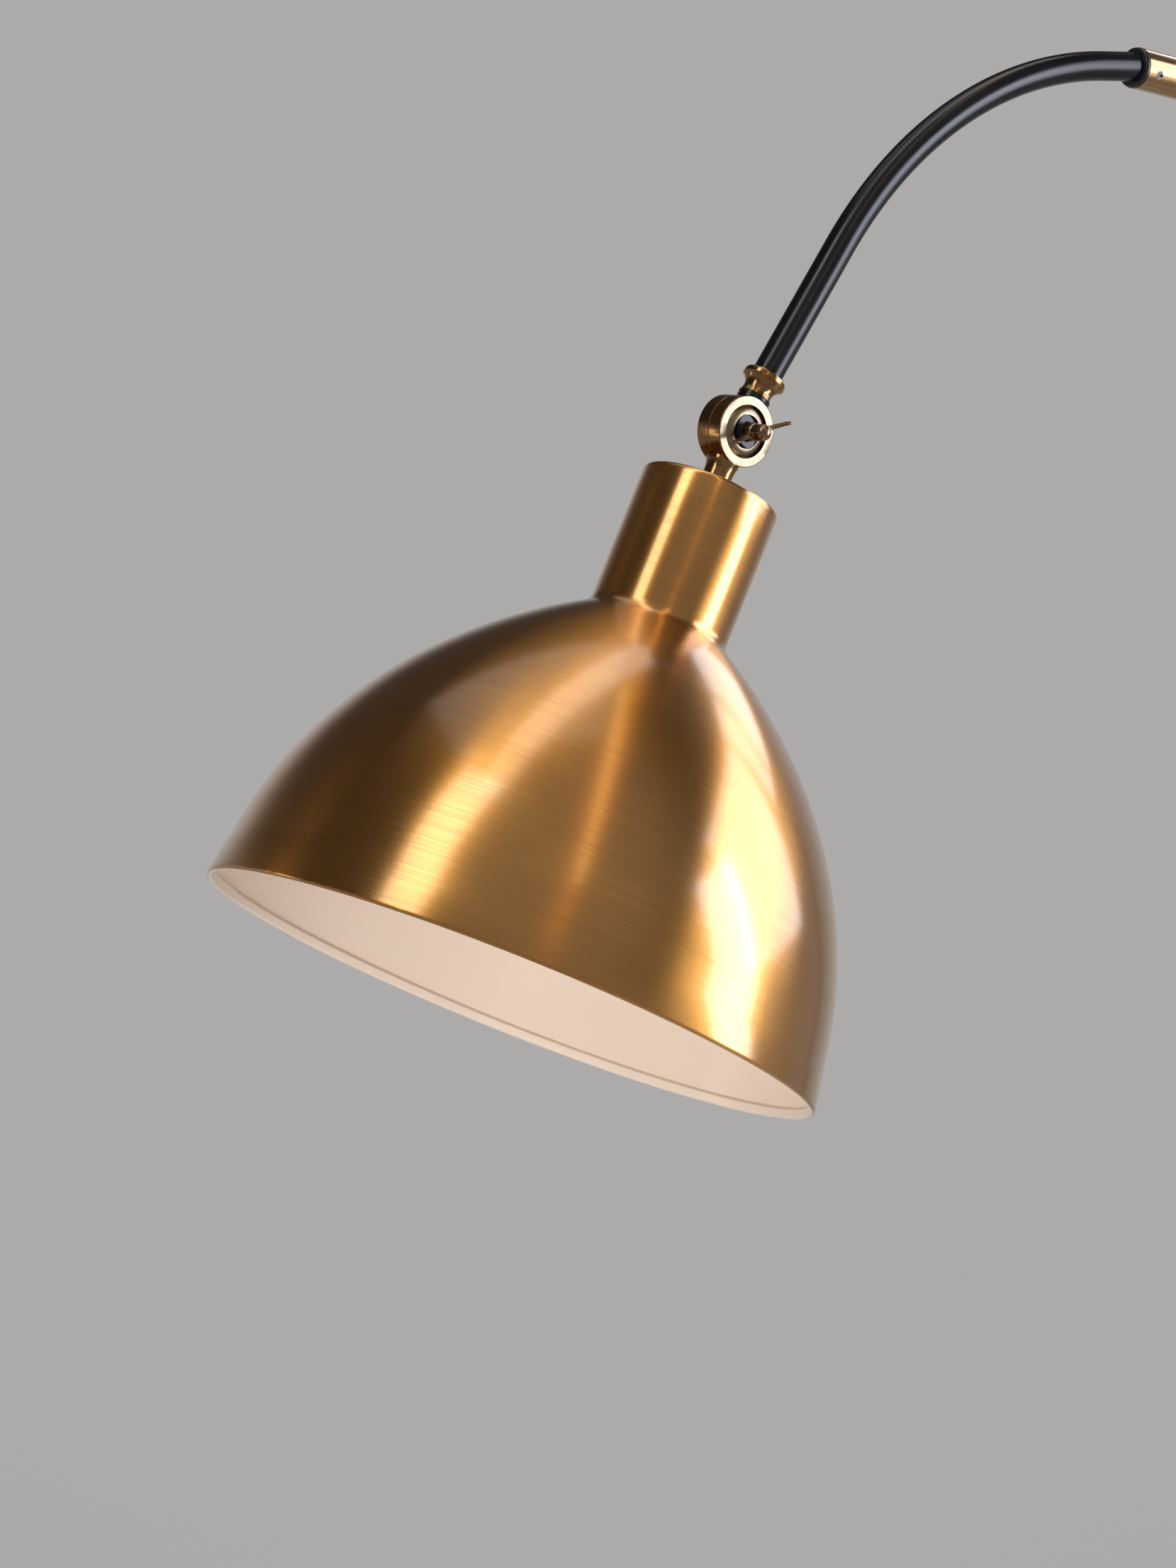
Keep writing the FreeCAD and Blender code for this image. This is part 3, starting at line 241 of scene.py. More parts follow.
makeFloor()
makeWorld()
makeLamps()
print("camera, floor and lights ready")


# finishes

noiseDetail = 3


def newFinish(name):
    finish = bpy.data.materials.new(name)
    finish.use_nodes = True
    return finish, finish.node_tree, finish.node_tree.nodes["Principled BSDF"]


def setInputs(shader, values):
    for name, value in values.items():
        shader.inputs[name].default_value = value


def mathNode(tree, operation, *values):
    made = addNode(tree, "ShaderNodeMath", operation=operation)
    for target, value in zip(made.inputs, values):
        feed(tree, target, value)
    return made.outputs[0]


def noiseNode(tree, vector, scale, roughness):
    made = addNode(tree, "ShaderNodeTexNoise")
    made.inputs["Scale"].default_value = scale
    made.inputs["Detail"].default_value = noiseDetail
    made.inputs["Roughness"].default_value = roughness
    tree.links.new(vector, made.inputs["Vector"])
    return made.outputs["Fac"]


def bumpNode(tree, shader, height, distance, strength=1.0):
    made = addNode(tree, "ShaderNodeBump")
    made.inputs["Strength"].default_value = strength
    made.inputs["Distance"].default_value = distance
    tree.links.new(height, made.inputs["Height"])
    tree.links.new(made.outputs["Normal"], shader.inputs["Normal"])


def lathePattern(tree, around, along):
    # A turned piece's own map: u goes once round it and v runs along its outline in metres.
    # Turned into a circle, u has no seam in the noise.
    own = addNode(tree, "ShaderNodeUVMap", uv_map="lathe")
    split = addNode(tree, "ShaderNodeSeparateXYZ")
    tree.links.new(own.outputs["UV"], split.inputs[0])
    angle = mathNode(tree, "MULTIPLY", split.outputs["X"], 2 * math.pi)
    east = mathNode(tree, "MULTIPLY", mathNode(tree, "COSINE", angle), around)
    north = mathNode(tree, "MULTIPLY", mathNode(tree, "SINE", angle), around)
    join = addNode(tree, "ShaderNodeCombineXYZ")
    tree.links.new(east, join.inputs["X"])
    tree.links.new(north, join.inputs["Y"])
    tree.links.new(mathNode(tree, "MULTIPLY", split.outputs["Y"], along), join.inputs["Z"])
    return join.outputs[0]


brushing = {
    "fineShare": 0.55,           # of the tone; the rest comes from broader bands
    "fineRoughness": 0.6,        # of the noise that draws the lines
    "broadRoughness": 0.55,
    "broadAround": 1.6,
    "broadLines": 22,
    "toneFrom": 0.34,
    "toneTo": 0.66,
    "bump": 0.6,
    "lacquer": 1.8,              # the coat's index of refraction
    "turn": 0.25,                # a quarter turn lays the highlights across the brush lines
}
brushedFinishes = {
    # bright, dull: the metal's two colours; around: the noise's scale round the piece;
    # lines: brush lines a metre; depth: of the lines
    "brushedBrass": {"bright": (0.80, 0.375, 0.07, 1), "dull": (0.56, 0.228, 0.03, 1),
                     "roughness": (0.26, 0.36), "anisotropy": 0.9, "coat": 1.0,
                     "coatRoughness": 0.15, "around": 1.3, "lines": 2600, "depth": 0.000012},
    "agedBrass": {"bright": (0.46, 0.26, 0.10, 1), "dull": (0.22, 0.115, 0.046, 1),
                  "roughness": (0.13, 0.24), "anisotropy": 0.5, "coat": 0.2,
                  "coatRoughness": 0.1, "around": 0.8, "lines": 5200, "depth": 0.000006},
    # painted highlight: a paler, less yellow copy of the brass for the cup washers and the knuckle's front face,
    # which catch the key light
    "paleHighlightBrass": {"bright": (0.36, 0.275, 0.18, 1), "dull": (0.21, 0.155, 0.095, 1),
                  "roughness": (0.24, 0.36), "anisotropy": 0.3, "coat": 0.3,
                  "coatRoughness": 0.1, "around": 0.8, "lines": 5200, "depth": 0.000004},
    "polishedBrass": {"bright": (0.66, 0.42, 0.19, 1), "dull": (0.50, 0.29, 0.12, 1),
                      "roughness": (0.14, 0.2), "anisotropy": 0, "coat": 0.4,
                      "coatRoughness": 0.06, "around": 0.8, "lines": 4200, "depth": 0.000001},
}


def brushedFinish(name):
    look = brushedFinishes[name]
    finish, tree, shader = newFinish(name)
    lines = lathePattern(tree, look["around"], look["lines"])
    fine = noiseNode(tree, lines, 1, brushing["fineRoughness"])
    bands = lathePattern(tree, brushing["broadAround"], brushing["broadLines"])
    broad = noiseNode(tree, bands, 1, brushing["broadRoughness"])
    share = brushing["fineShare"]
    blend = mathNode(tree, "ADD", mathNode(tree, "MULTIPLY", fine, share),
                     mathNode(tree, "MULTIPLY", broad, 1 - share))
    tone = rangeNode(tree, blend, 0, 1, brushing["toneFrom"], brushing["toneTo"])
    tree.links.new(mixColours(tree, tone, look["dull"], look["bright"]),
                   shader.inputs["Base Color"])
    low, high = look["roughness"]
    tree.links.new(rangeNode(tree, fine, high, low), shader.inputs["Roughness"])
    setInputs(shader, {"Metallic": 1.0, "Coat IOR": brushing["lacquer"],
                       "Anisotropic": look["anisotropy"],
                       "Anisotropic Rotation": brushing["turn"], "Coat Weight": look["coat"],
                       "Coat Roughness": look["coatRoughness"]})
    tangent = addNode(tree, "ShaderNodeTangent", direction_type="UV_MAP", uv_map="lathe")
    tree.links.new(tangent.outputs[0], shader.inputs["Tangent"])
    bumpNode(tree, shader, fine, look["depth"], brushing["bump"])
    return finish


grainsInCloud = 24               # how many grains go across one patch of the two colours
grainRoughness = 0.55
cloudRoughness = 0.5
plainFinishes = {
    # two colours, roughness range, grains a metre, bump distance, fixed shader values
    "satinBlack": {"colours": ((0.002, 0.002, 0.005, 1), (0.005, 0.005, 0.010, 1)),
                   "roughness": (0.20, 0.25), "grain": 900, "depth": 0.0000004,
                   "fixed": {"Specular IOR Level": 0.44}},
    "baseBlack": {"colours": ((0.015, 0.015, 0.017, 1), (0.020, 0.019, 0.022, 1)),
                  "roughness": (0.46, 0.52), "grain": 1400, "depth": 0.00006,
                  "fixed": {}},
    "bushBlack": {"colours": ((0.008, 0.008, 0.012, 1), (0.016, 0.015, 0.02, 1)),
                  "roughness": (0.28, 0.4), "grain": 700, "depth": 0.00001, "fixed": {}},
    "whiteEnamel": {"colours": ((0.88, 0.765, 0.67, 1), (0.92, 0.81, 0.725, 1)),
                    "roughness": (0.26, 0.36), "grain": 60, "depth": 0.00006,
                    "fixed": {"Coat Weight": 0.25, "Coat Roughness": 0.12}},
    "rubberBlack": {"colours": ((0.02, 0.02, 0.02, 1), (0.045, 0.044, 0.042, 1)),
                    "roughness": (0.7, 0.85), "grain": 1100, "depth": 0.00005, "fixed": {}},
    "rawIron": {"colours": ((0.10, 0.095, 0.09, 1), (0.20, 0.19, 0.18, 1)),
                "roughness": (0.55, 0.75), "grain": 500, "depth": 0.0002,
                "fixed": {"Metallic": 1.0}},
    "screwSteel": {"colours": ((0.08, 0.077, 0.074, 1), (0.16, 0.155, 0.15, 1)),
                   "roughness": (0.2, 0.34), "grain": 900, "depth": 0.000008,
                   "fixed": {"Metallic": 1.0}},
    "zincSteel": {"colours": ((0.50, 0.50, 0.49, 1), (0.66, 0.66, 0.65, 1)),
                  "roughness": (0.26, 0.4), "grain": 800, "depth": 0.00001,
                  "fixed": {"Metallic": 1.0}},
    "pressedFibre": {"colours": ((0.20, 0.08, 0.045, 1), (0.34, 0.15, 0.09, 1)),
                     "roughness": (0.6, 0.8), "grain": 1500, "depth": 0.00003, "fixed": {}},
    "blackPhenolic": {"colours": ((0.018, 0.016, 0.016, 1), (0.035, 0.032, 0.031, 1)),
                      "roughness": (0.18, 0.3), "grain": 400, "depth": 0.00001, "fixed": {}},
    "whiteCeramic": {"colours": ((0.80, 0.79, 0.75, 1), (0.88, 0.87, 0.84, 1)),
                     "roughness": (0.4, 0.6), "grain": 700, "depth": 0.00003, "fixed": {}},
    "nickelPlate": {"colours": ((0.62, 0.58, 0.52, 1), (0.76, 0.72, 0.66, 1)),
                    "roughness": (0.16, 0.3), "grain": 600, "depth": 0.000005,
                    "fixed": {"Metallic": 1.0}},
    "springBrass": {"colours": ((0.66, 0.46, 0.18, 1), (0.80, 0.58, 0.26, 1)),
                    "roughness": (0.2, 0.34), "grain": 600, "depth": 0.000005,
                    "fixed": {"Metallic": 1.0}},
    "wornBrass": {"colours": ((0.17, 0.105, 0.065, 1), (0.33, 0.215, 0.125, 1)),
                  "roughness": (0.16, 0.30), "grain": 420, "depth": 0.000006,
                  "fixed": {"Metallic": 1.0, "Coat Weight": 0.2, "Coat Roughness": 0.1}},
}


def plainFinish(name):
    look = plainFinishes[name]
    finish, tree, shader = newFinish(name)
    where = addNode(tree, "ShaderNodeTexCoord").outputs["Object"]
    grain = noiseNode(tree, where, look["grain"], grainRoughness)
    cloud = noiseNode(tree, where, look["grain"] / grainsInCloud, cloudRoughness)
    dark, light = look["colours"]
    tree.links.new(mixColours(tree, rangeNode(tree, cloud, 0, 1), dark, light),
                   shader.inputs["Base Color"])
    low, high = look["roughness"]
    tree.links.new(rangeNode(tree, cloud, low, high), shader.inputs["Roughness"])
    setInputs(shader, look["fixed"])
    bumpNode(tree, shader, grain, look["depth"])
    return finish


finishes = {name: brushedFinish(name) for name in brushedFinishes}
finishes.update({name: plainFinish(name) for name in plainFinishes})

# The finish that each of the record's slots takes on the nodes that stay as they are.
slotFinishes = {
    "brushed_brass": "wornBrass", "aged_brass": "wornBrass", "satin_black": "satinBlack",
    "raw_iron": "rawIron", "zinc_steel": "zincSteel", "black_rubber": "rubberBlack",
    "black_plastic": "bushBlack", "fibre": "pressedFibre", "black_phenolic": "blackPhenolic",
    "white_ceramic": "whiteCeramic", "nickel": "nickelPlate", "contact_brass": "springBrass",
}
nodeFinishes = {"boom_grub_screw": "screwSteel"}
slotOf = {part["node"]: part["material_slot"] for part in frame["record"]["subparts"]}
for name, node in nodes.items():
    finish = finishes[nodeFinishes.get(name, slotFinishes[slotOf[name]])]
    if not node.material_slots:
        node.data.materials.append(finish)
    for held in node.material_slots:
        held.material = finish
print("finishes on the nodes:", len(nodes))


# turned pieces

straightSteps = 12               # a straight run's parts are this many arc steps long


def arcPoints(start, end, radius, side, step):
    # side is +1 where the outline turns left along the arc and -1 where it turns right.
    chord = math.hypot(end[0] - start[0], end[1] - start[1])
    off = math.sqrt(max(radius * radius - chord * chord / 4, 0)) * side
    centre = (start[0] + (end[0] - start[0]) / 2 - (end[1] - start[1]) / chord * off,
              start[1] + (end[1] - start[1]) / 2 + (end[0] - start[0]) / chord * off)
    first = math.atan2(start[1] - centre[1], start[0] - centre[0])
    sweep = math.atan2(end[1] - centre[1], end[0] - centre[0]) - first
    sweep = sweep % (2 * math.pi) if side > 0 else -((-sweep) % (2 * math.pi))
    count = max(3, math.ceil(abs(sweep) * radius / step))
    return [(centre[0] + radius * math.cos(first + sweep * i / count),
             centre[1] + radius * math.sin(first + sweep * i / count))
            for i in range(1, count)]


def outlinePoints(outline, step):
    # A corner is (radius, height); (radius, height, arc radius, side) reaches it by an arc.
    points = []
    for i, corner in enumerate(outline):
        before = outline[i - 1]
        if len(corner) == 4:
            points += arcPoints(before[:2], corner[:2], corner[2], corner[3], step)
        else:
            length = math.hypot(corner[0] - before[0], corner[1] - before[1])
            parts = math.ceil(length / (straightSteps * step))
            points += [(before[0] + (corner[0] - before[0]) * k / parts,
                        before[1] + (corner[1] - before[1]) * k / parts)
                       for k in range(1, parts)]
        points.append((corner[0], corner[1]))
    return points


def socket(tree, name, kind, direction="INPUT", default=None):
    made = tree.interface.new_socket(name=name, in_out=direction, socket_type=kind)
    if default is not None:
        made.default_value = default
    return made


insideShare = 0.6                # a face with more of its corners than this marked is inside


def makeLatheTree():
    # Sweeps the piece's outline, drawn on XZ, round a circle about Z.
    tree = bpy.data.node_groups.new("turnedPiece", "GeometryNodeTree")
    socket(tree, "Geometry", "NodeSocketGeometry")
    socket(tree, "Path Radius", "NodeSocketFloat", default=0.1)
    socket(tree, "Segments", "NodeSocketInt", default=96)
    socket(tree, "Outside Finish", "NodeSocketMaterial")
    socket(tree, "Inside Finish", "NodeSocketMaterial")
    socket(tree, "Geometry", "NodeSocketGeometry", "OUTPUT")
    given = addNode(tree, "NodeGroupInput")
    result = addNode(tree, "NodeGroupOutput")
    link = tree.links.new

    place = addNode(tree, "GeometryNodeInputPosition")
    parts = addNode(tree, "ShaderNodeSeparateXYZ")
    inward = addNode(tree, "ShaderNodeMath", operation="SUBTRACT")
    down = addNode(tree, "ShaderNodeMath", operation="MULTIPLY")
    down.inputs[1].default_value = -1
    flat = addNode(tree, "ShaderNodeCombineXYZ")
    link(place.outputs[0], parts.inputs[0])
    link(parts.outputs["X"], inward.inputs[0])
    link(given.outputs["Path Radius"], inward.inputs[1])
    link(parts.outputs["Z"], down.inputs[0])
    link(inward.outputs[0], flat.inputs["X"])
    link(down.outputs[0], flat.inputs["Y"])
    lay = addNode(tree, "GeometryNodeSetPosition")
    link(given.outputs["Geometry"], lay.inputs["Geometry"])
    link(flat.outputs[0], lay.inputs["Position"])
    outline = addNode(tree, "GeometryNodeMeshToCurve")
    link(lay.outputs[0], outline.inputs["Mesh"])

    circle = addNode(tree, "GeometryNodeCurvePrimitiveCircle", mode="RADIUS")
    link(given.outputs["Segments"], circle.inputs["Resolution"])
    link(given.outputs["Path Radius"], circle.inputs["Radius"])
    sweep = addNode(tree, "GeometryNodeCurveToMesh")
    link(circle.outputs["Curve"], sweep.inputs["Curve"])
    link(outline.outputs["Curve"], sweep.inputs["Profile Curve"])

    merge = addNode(tree, "GeometryNodeMergeByDistance")
    merge.inputs["Distance"].default_value = mergeGap
    link(sweep.outputs["Mesh"], merge.inputs["Geometry"])
    real = addNode(tree, "GeometryNodeRealizeInstances")
    link(merge.outputs[0], real.inputs[0])
    outside = addNode(tree, "GeometryNodeSetMaterial")
    link(real.outputs[0], outside.inputs["Geometry"])
    link(given.outputs["Outside Finish"], outside.inputs["Material"])
    inside = addNode(tree, "GeometryNodeSetMaterial")
    marked = addNode(tree, "GeometryNodeInputNamedAttribute", data_type="FLOAT")
    marked.inputs["Name"].default_value = "inside"
    chosen = addNode(tree, "ShaderNodeMath", operation="GREATER_THAN")
    chosen.inputs[1].default_value = insideShare
    link(marked.outputs["Attribute"], chosen.inputs[0])
    link(outside.outputs[0], inside.inputs["Geometry"])
    link(chosen.outputs[0], inside.inputs["Selection"])
    link(given.outputs["Inside Finish"], inside.inputs["Material"])
    link(inside.outputs[0], result.inputs[0])
    return tree


def setTreeInputs(modifier, values):
    for item in modifier.node_group.interface.items_tree:
        if item.item_type == "SOCKET" and item.in_out == "INPUT" and item.name in values:
            modifier[item.identifier] = values[item.name]


def plainMesh(holder, name):
    # The holder's shape after its modifiers, as a plain mesh. The holder goes.
    depsgraph = bpy.context.evaluated_depsgraph_get()
    made = bpy.data.meshes.new_from_object(holder.evaluated_get(depsgraph), depsgraph=depsgraph)
    for modifier in list(holder.modifiers):
        holder.modifiers.remove(modifier)
    bpy.data.objects.remove(holder)
    made.name = name
    return made


def treeMesh(name, base, tree, values):
    # Runs a node tree on a base mesh and gives its result as a plain mesh.
    holder = addObject(name + "Draft", base)
    modifier = holder.modifiers.new("tree", "NODES")
    modifier.node_group = tree
    setTreeInputs(modifier, values)
    return plainMesh(holder, name)


def spotsOf(mesh):
    spots = np.zeros(len(mesh.vertices) * 3)
    mesh.vertices.foreach_get("co", spots)
    return spots.reshape(-1, 3)


def cornersOf(mesh):
    # The vertex at each corner of each face.
    corners = np.zeros(len(mesh.loops), dtype=np.int32)
    mesh.loops.foreach_get("vertex_index", corners)
    return corners


def inFrame(spots, place):
    turn = np.array(place.inverted())
    return spots @ turn[:3, :3].T + turn[:3, 3]


def closeTurn(around):
    # A face across the seam of a map gets its far corners brought round to its near ones.
    if around.max() - around.min() > 0.5:
        around[around < 0] += 1


def latheMap(mesh):
    # u is the angle about Z and v the length along the outline, in metres.
    along = np.zeros(len(mesh.vertices))
    mesh.attributes["along"].data.foreach_get("value", along)
    spots, corners = spotsOf(mesh), cornersOf(mesh)
    angle = np.arctan2(spots[:, 1], spots[:, 0]) / (2 * math.pi)
    onAxis = np.hypot(spots[:, 0], spots[:, 1]) < shortestEdge
    u = angle[corners]
    v = along[corners].astype(float)
    for face in mesh.polygons:
        span = slice(face.loop_start, face.loop_start + face.loop_total)
        around = u[span]
        closeTurn(around)
        centred = onAxis[corners[span]]
        if centred.any() and not centred.all():
            around[centred] = around[~centred].mean()
        lengths = v[span]
        if lengths.max() - lengths.min() > 0.5 * along.max():
            lengths[lengths < 0.5 * along.max()] += along.max()
    layer = mesh.uv_layers.new(name="lathe")
    layer.data.foreach_set("uv", np.column_stack((u, v)).ravel())


def mergeDoubles(mesh, outwards):
    body = bmesh.new()
    body.from_mesh(mesh)
    bmesh.ops.remove_doubles(body, verts=body.verts, dist=mergeGap)
    bmesh.ops.dissolve_degenerate(body, edges=body.edges, dist=shortestEdge)
    if outwards:
        bmesh.ops.recalc_face_normals(body, faces=body.faces)
    body.to_mesh(mesh)
    body.free()


def shadeRound(mesh, sharp):
    for face in mesh.polygons:
        face.use_smooth = True
    mesh.set_sharp_from_angle(angle=math.radians(sharp))


def finishMesh(mesh, place, sharp):
    mergeDoubles(mesh, True)
    mesh.transform(place)
    shadeRound(mesh, sharp)


def addPiece(name, mesh, body, replaced):
    piece = addObject(name, mesh)
    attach(piece, body)
    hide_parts(*replaced)


latheTree = makeLatheTree()


def turnedMesh(name, outline, place, finish, inside, size):
    # outline is in millimetres; from its corner insideFrom on it takes the inside finish.
    points = outlinePoints(outline, size["step"])
    starts = [0.0]
    for a, b in zip(points, points[1:]):
        starts.append(starts[-1] + math.hypot(b[0] - a[0], b[1] - a[1]))
    base = bpy.data.meshes.new(name + "Outline")
    count = len(points)
    base.from_pydata([(x * mm, 0, z * mm) for x, z in points],
                     [(i, (i + 1) % count) for i in range(count)], [])
    along = base.attributes.new("along", "FLOAT", "POINT")
    along.data.foreach_set("value", [length * mm for length in starts])
    mark = base.attributes.new("inside", "FLOAT", "POINT")
    first = points.index(outline[size["insideFrom"]][:2])
    mark.data.foreach_set("value", [1.0 if i >= first else 0.0 for i in range(count)])
    mesh = treeMesh(name, base, latheTree, {
        "Path Radius": max(x for x, z in points) * mm, "Segments": size["segments"],
        "Outside Finish": finishes[finish], "Inside Finish": finishes[inside],
    })
    latheMap(mesh)
    finishMesh(mesh, place, size["sharp"])
    return mesh


# the shade

shadeSizes = {
    "stem": 27.3, "neckRadius": 29.6, "neckLength": 58.5, "neckRound": 2.4, "wall": 0.8,
    "fillet": 6.9, "angles": (57.8, 41.8, 26.1, 9.4), "arcs": (232, 195, 172),
    "skirt": 27.3, "hemDepth": 2.4, "hemHeight": 3.3, "bore": 4.97, "segments": 256,
    "step": 1.2, "sharp": 30, "insideFrom": 9,
}


def makeShade():
    size = shadeSizes
    wall, top, neck = size["wall"], size["stem"], size["neckRadius"]
    angles = [math.radians(angle) for angle in size["angles"]]
    r = neck + size["fillet"] * (1 - math.cos(angles[0]))
    z = top + size["neckLength"] + size["fillet"] * math.sin(angles[0])
    corners = [(r, z)]
    for arc, start, end in zip(size["arcs"], angles, angles[1:]):
        r += arc * (math.cos(end) - math.cos(start))
        z += arc * (math.sin(start) - math.sin(end))
        corners.append((r, z))
    fall = angles[-1]

    def rim(down, across):
        return (r + math.sin(fall) * down - math.cos(fall) * across,
                z + math.cos(fall) * down + math.sin(fall) * across)

    def inner(i):
        return (corners[i][0] - wall * math.cos(angles[i]),
                corners[i][1] + wall * math.sin(angles[i]))

    arcs, skirt, hem, half = size["arcs"], size["skirt"], size["hemDepth"], size["hemDepth"] / 2
    outline = [
        (size["bore"], top), (neck - size["neckRound"], top),
        (neck, top + size["neckRound"], size["neckRound"], 1), (neck, top + size["neckLength"]),
        corners[0] + (size["fillet"], -1), corners[1] + (arcs[0], 1),
        corners[2] + (arcs[1], 1), corners[3] + (arcs[2], 1),
        rim(skirt, 0), rim(skirt + half, half) + (half, 1), rim(skirt, hem) + (half, 1),
        rim(skirt - size["hemHeight"] + wall, hem),
        rim(skirt - size["hemHeight"], wall) + (hem - wall, 1),
        inner(3), inner(2) + (arcs[2] - wall, -1), inner(1) + (arcs[1] - wall, -1),
        inner(0) + (arcs[0] - wall, -1),
        (neck - wall, top + size["neckLength"], size["fillet"] + wall, 1),
        (neck - wall, top + size["neckRound"]),
        (neck - size["neckRound"], top + wall, size["neckRound"] - wall, -1),
        (size["bore"], top + wall),
    ]
    mesh = turnedMesh("spunShade", outline, headFrame, "brushedBrass", "whiteEnamel", size)
    addPiece("spunShade", mesh, "head", ["shade"])


makeShade()
print("shade made")


# the hooked arm

armSizes = {
    "from": 21.6, "straight": 94.8, "bend": 197, "turn": 52.2, "tail": 17.03, "kink": 9.6,
    "kinkBend": 16, "tang": 28, "radius": 6.5, "segments": 64, "step": 1.5, "sharp": 40,
}


def makeTubeTree():
    # Carries a round section along the piece's path.
    tree = bpy.data.node_groups.new("bentTube", "GeometryNodeTree")
    socket(tree, "Geometry", "NodeSocketGeometry")
    socket(tree, "Tube Radius", "NodeSocketFloat", default=0.0065)
    socket(tree, "Segments", "NodeSocketInt", default=64)
    socket(tree, "Finish", "NodeSocketMaterial")
    socket(tree, "Geometry", "NodeSocketGeometry", "OUTPUT")
    given = addNode(tree, "NodeGroupInput")
    result = addNode(tree, "NodeGroupOutput")
    link = tree.links.new
    path = addNode(tree, "GeometryNodeMeshToCurve")
    section = addNode(tree, "GeometryNodeCurvePrimitiveCircle", mode="RADIUS")
    sweep = addNode(tree, "GeometryNodeCurveToMesh")
    sweep.inputs["Fill Caps"].default_value = True
    real = addNode(tree, "GeometryNodeRealizeInstances")
    paint = addNode(tree, "GeometryNodeSetMaterial")
    link(given.outputs["Geometry"], path.inputs["Mesh"])
    link(given.outputs["Segments"], section.inputs["Resolution"])
    link(given.outputs["Tube Radius"], section.inputs["Radius"])
    link(path.outputs["Curve"], sweep.inputs["Curve"])
    link(section.outputs["Curve"], sweep.inputs["Profile Curve"])
    link(sweep.outputs["Mesh"], real.inputs[0])
    link(real.outputs[0], paint.inputs["Geometry"])
    link(given.outputs["Finish"], paint.inputs["Material"])
    link(paint.outputs[0], result.inputs[0])
    return tree


def makeArm():
    size = armSizes
    turned = math.radians(size["turn"])
    bent = math.radians(size["turn"] + size["kink"])
    bendEnd = (size["bend"] * (1 - math.cos(turned)),
               size["straight"] + size["bend"] * math.sin(turned))
    tailEnd = (bendEnd[0] + size["tail"] * math.sin(turned),
               bendEnd[1] + size["tail"] * math.cos(turned))
    kinkEnd = (tailEnd[0] + size["kinkBend"] * (math.cos(turned) - math.cos(bent)),
               tailEnd[1] + size["kinkBend"] * (math.sin(bent) - math.sin(turned)))
    end = (kinkEnd[0] + size["tang"] * math.sin(bent), kinkEnd[1] + size["tang"] * math.cos(bent))
    start, straightEnd = (0, size["from"]), (0, size["straight"])
    route = [start, straightEnd]
    route += arcPoints(straightEnd, bendEnd, size["bend"], -1, size["step"]) + [bendEnd, tailEnd]
    route += arcPoints(tailEnd, kinkEnd, size["kinkBend"], -1, size["step"] / 3) + [kinkEnd, end]
    base = bpy.data.meshes.new("armPath")
    base.from_pydata([(x * mm, 0, z * mm) for x, z in route],
                     [(i, i + 1) for i in range(len(route) - 1)], [])
    mesh = treeMesh("hookedArm", base, makeTubeTree(), {
        "Tube Radius": size["radius"] * mm, "Segments": size["segments"],
        "Finish": finishes["satinBlack"],
    })
    finishMesh(mesh, armFrame, size["sharp"])
    addPiece("hookedArm", mesh, "boom", ["hook_arm"])


makeArm()
print("arm made")


# smoothed pieces: the node's own shape with its doubles merged, shaded round, and mapped

def mapByAxis(mesh, axis, stemAxis=None, stemFrom=0):
    # u is the angle about the axis and v the way along and out from it. Past stemFrom
    # along stemAxis the map turns about that axis instead.
    spots, corners = spotsOf(mesh), cornersOf(mesh)

    def cylinder(points):
        return (np.arctan2(points[:, 1], points[:, 0]) / (2 * math.pi),
                points[:, 2] + np.hypot(points[:, 0], points[:, 1]))

    angle, length = cylinder(inFrame(spots, axis))
    if stemAxis is not None:
        stem = inFrame(spots, stemAxis)
        stemAngle, stemLength = cylinder(stem)
        onStem = stem[:, 2] > stemFrom * mm
        angle = np.where(onStem, stemAngle, angle)
        length = np.where(onStem, stemLength, length)
    u = angle[corners]
    for face in mesh.polygons:
        closeTurn(u[face.loop_start:face.loop_start + face.loop_total])
    layer = mesh.uv_layers.new(name="lathe")
    layer.data.foreach_set("uv", np.column_stack((u, length[corners])).ravel())


def mergedCopy(name, node, finish):
    mesh = nodes[node].data.copy()
    mesh.name = name
    mesh.materials.clear()
    mesh.materials.append(finishes[finish])
    mergeDoubles(mesh, False)
    for attribute in ("custom_normal", "sharp_face", "sharp_edge"):
        if attribute in mesh.attributes:
            mesh.attributes.remove(mesh.attributes[attribute])
    return mesh


headAcross = headFrame @ alongY
armAcross = armFrame @ alongY
boomAcross = boomFrame @ alongY
swivelAcross = swivelFrame @ alongY

smoothSharp = 32                 # edges over this angle, in degrees, stay sharp

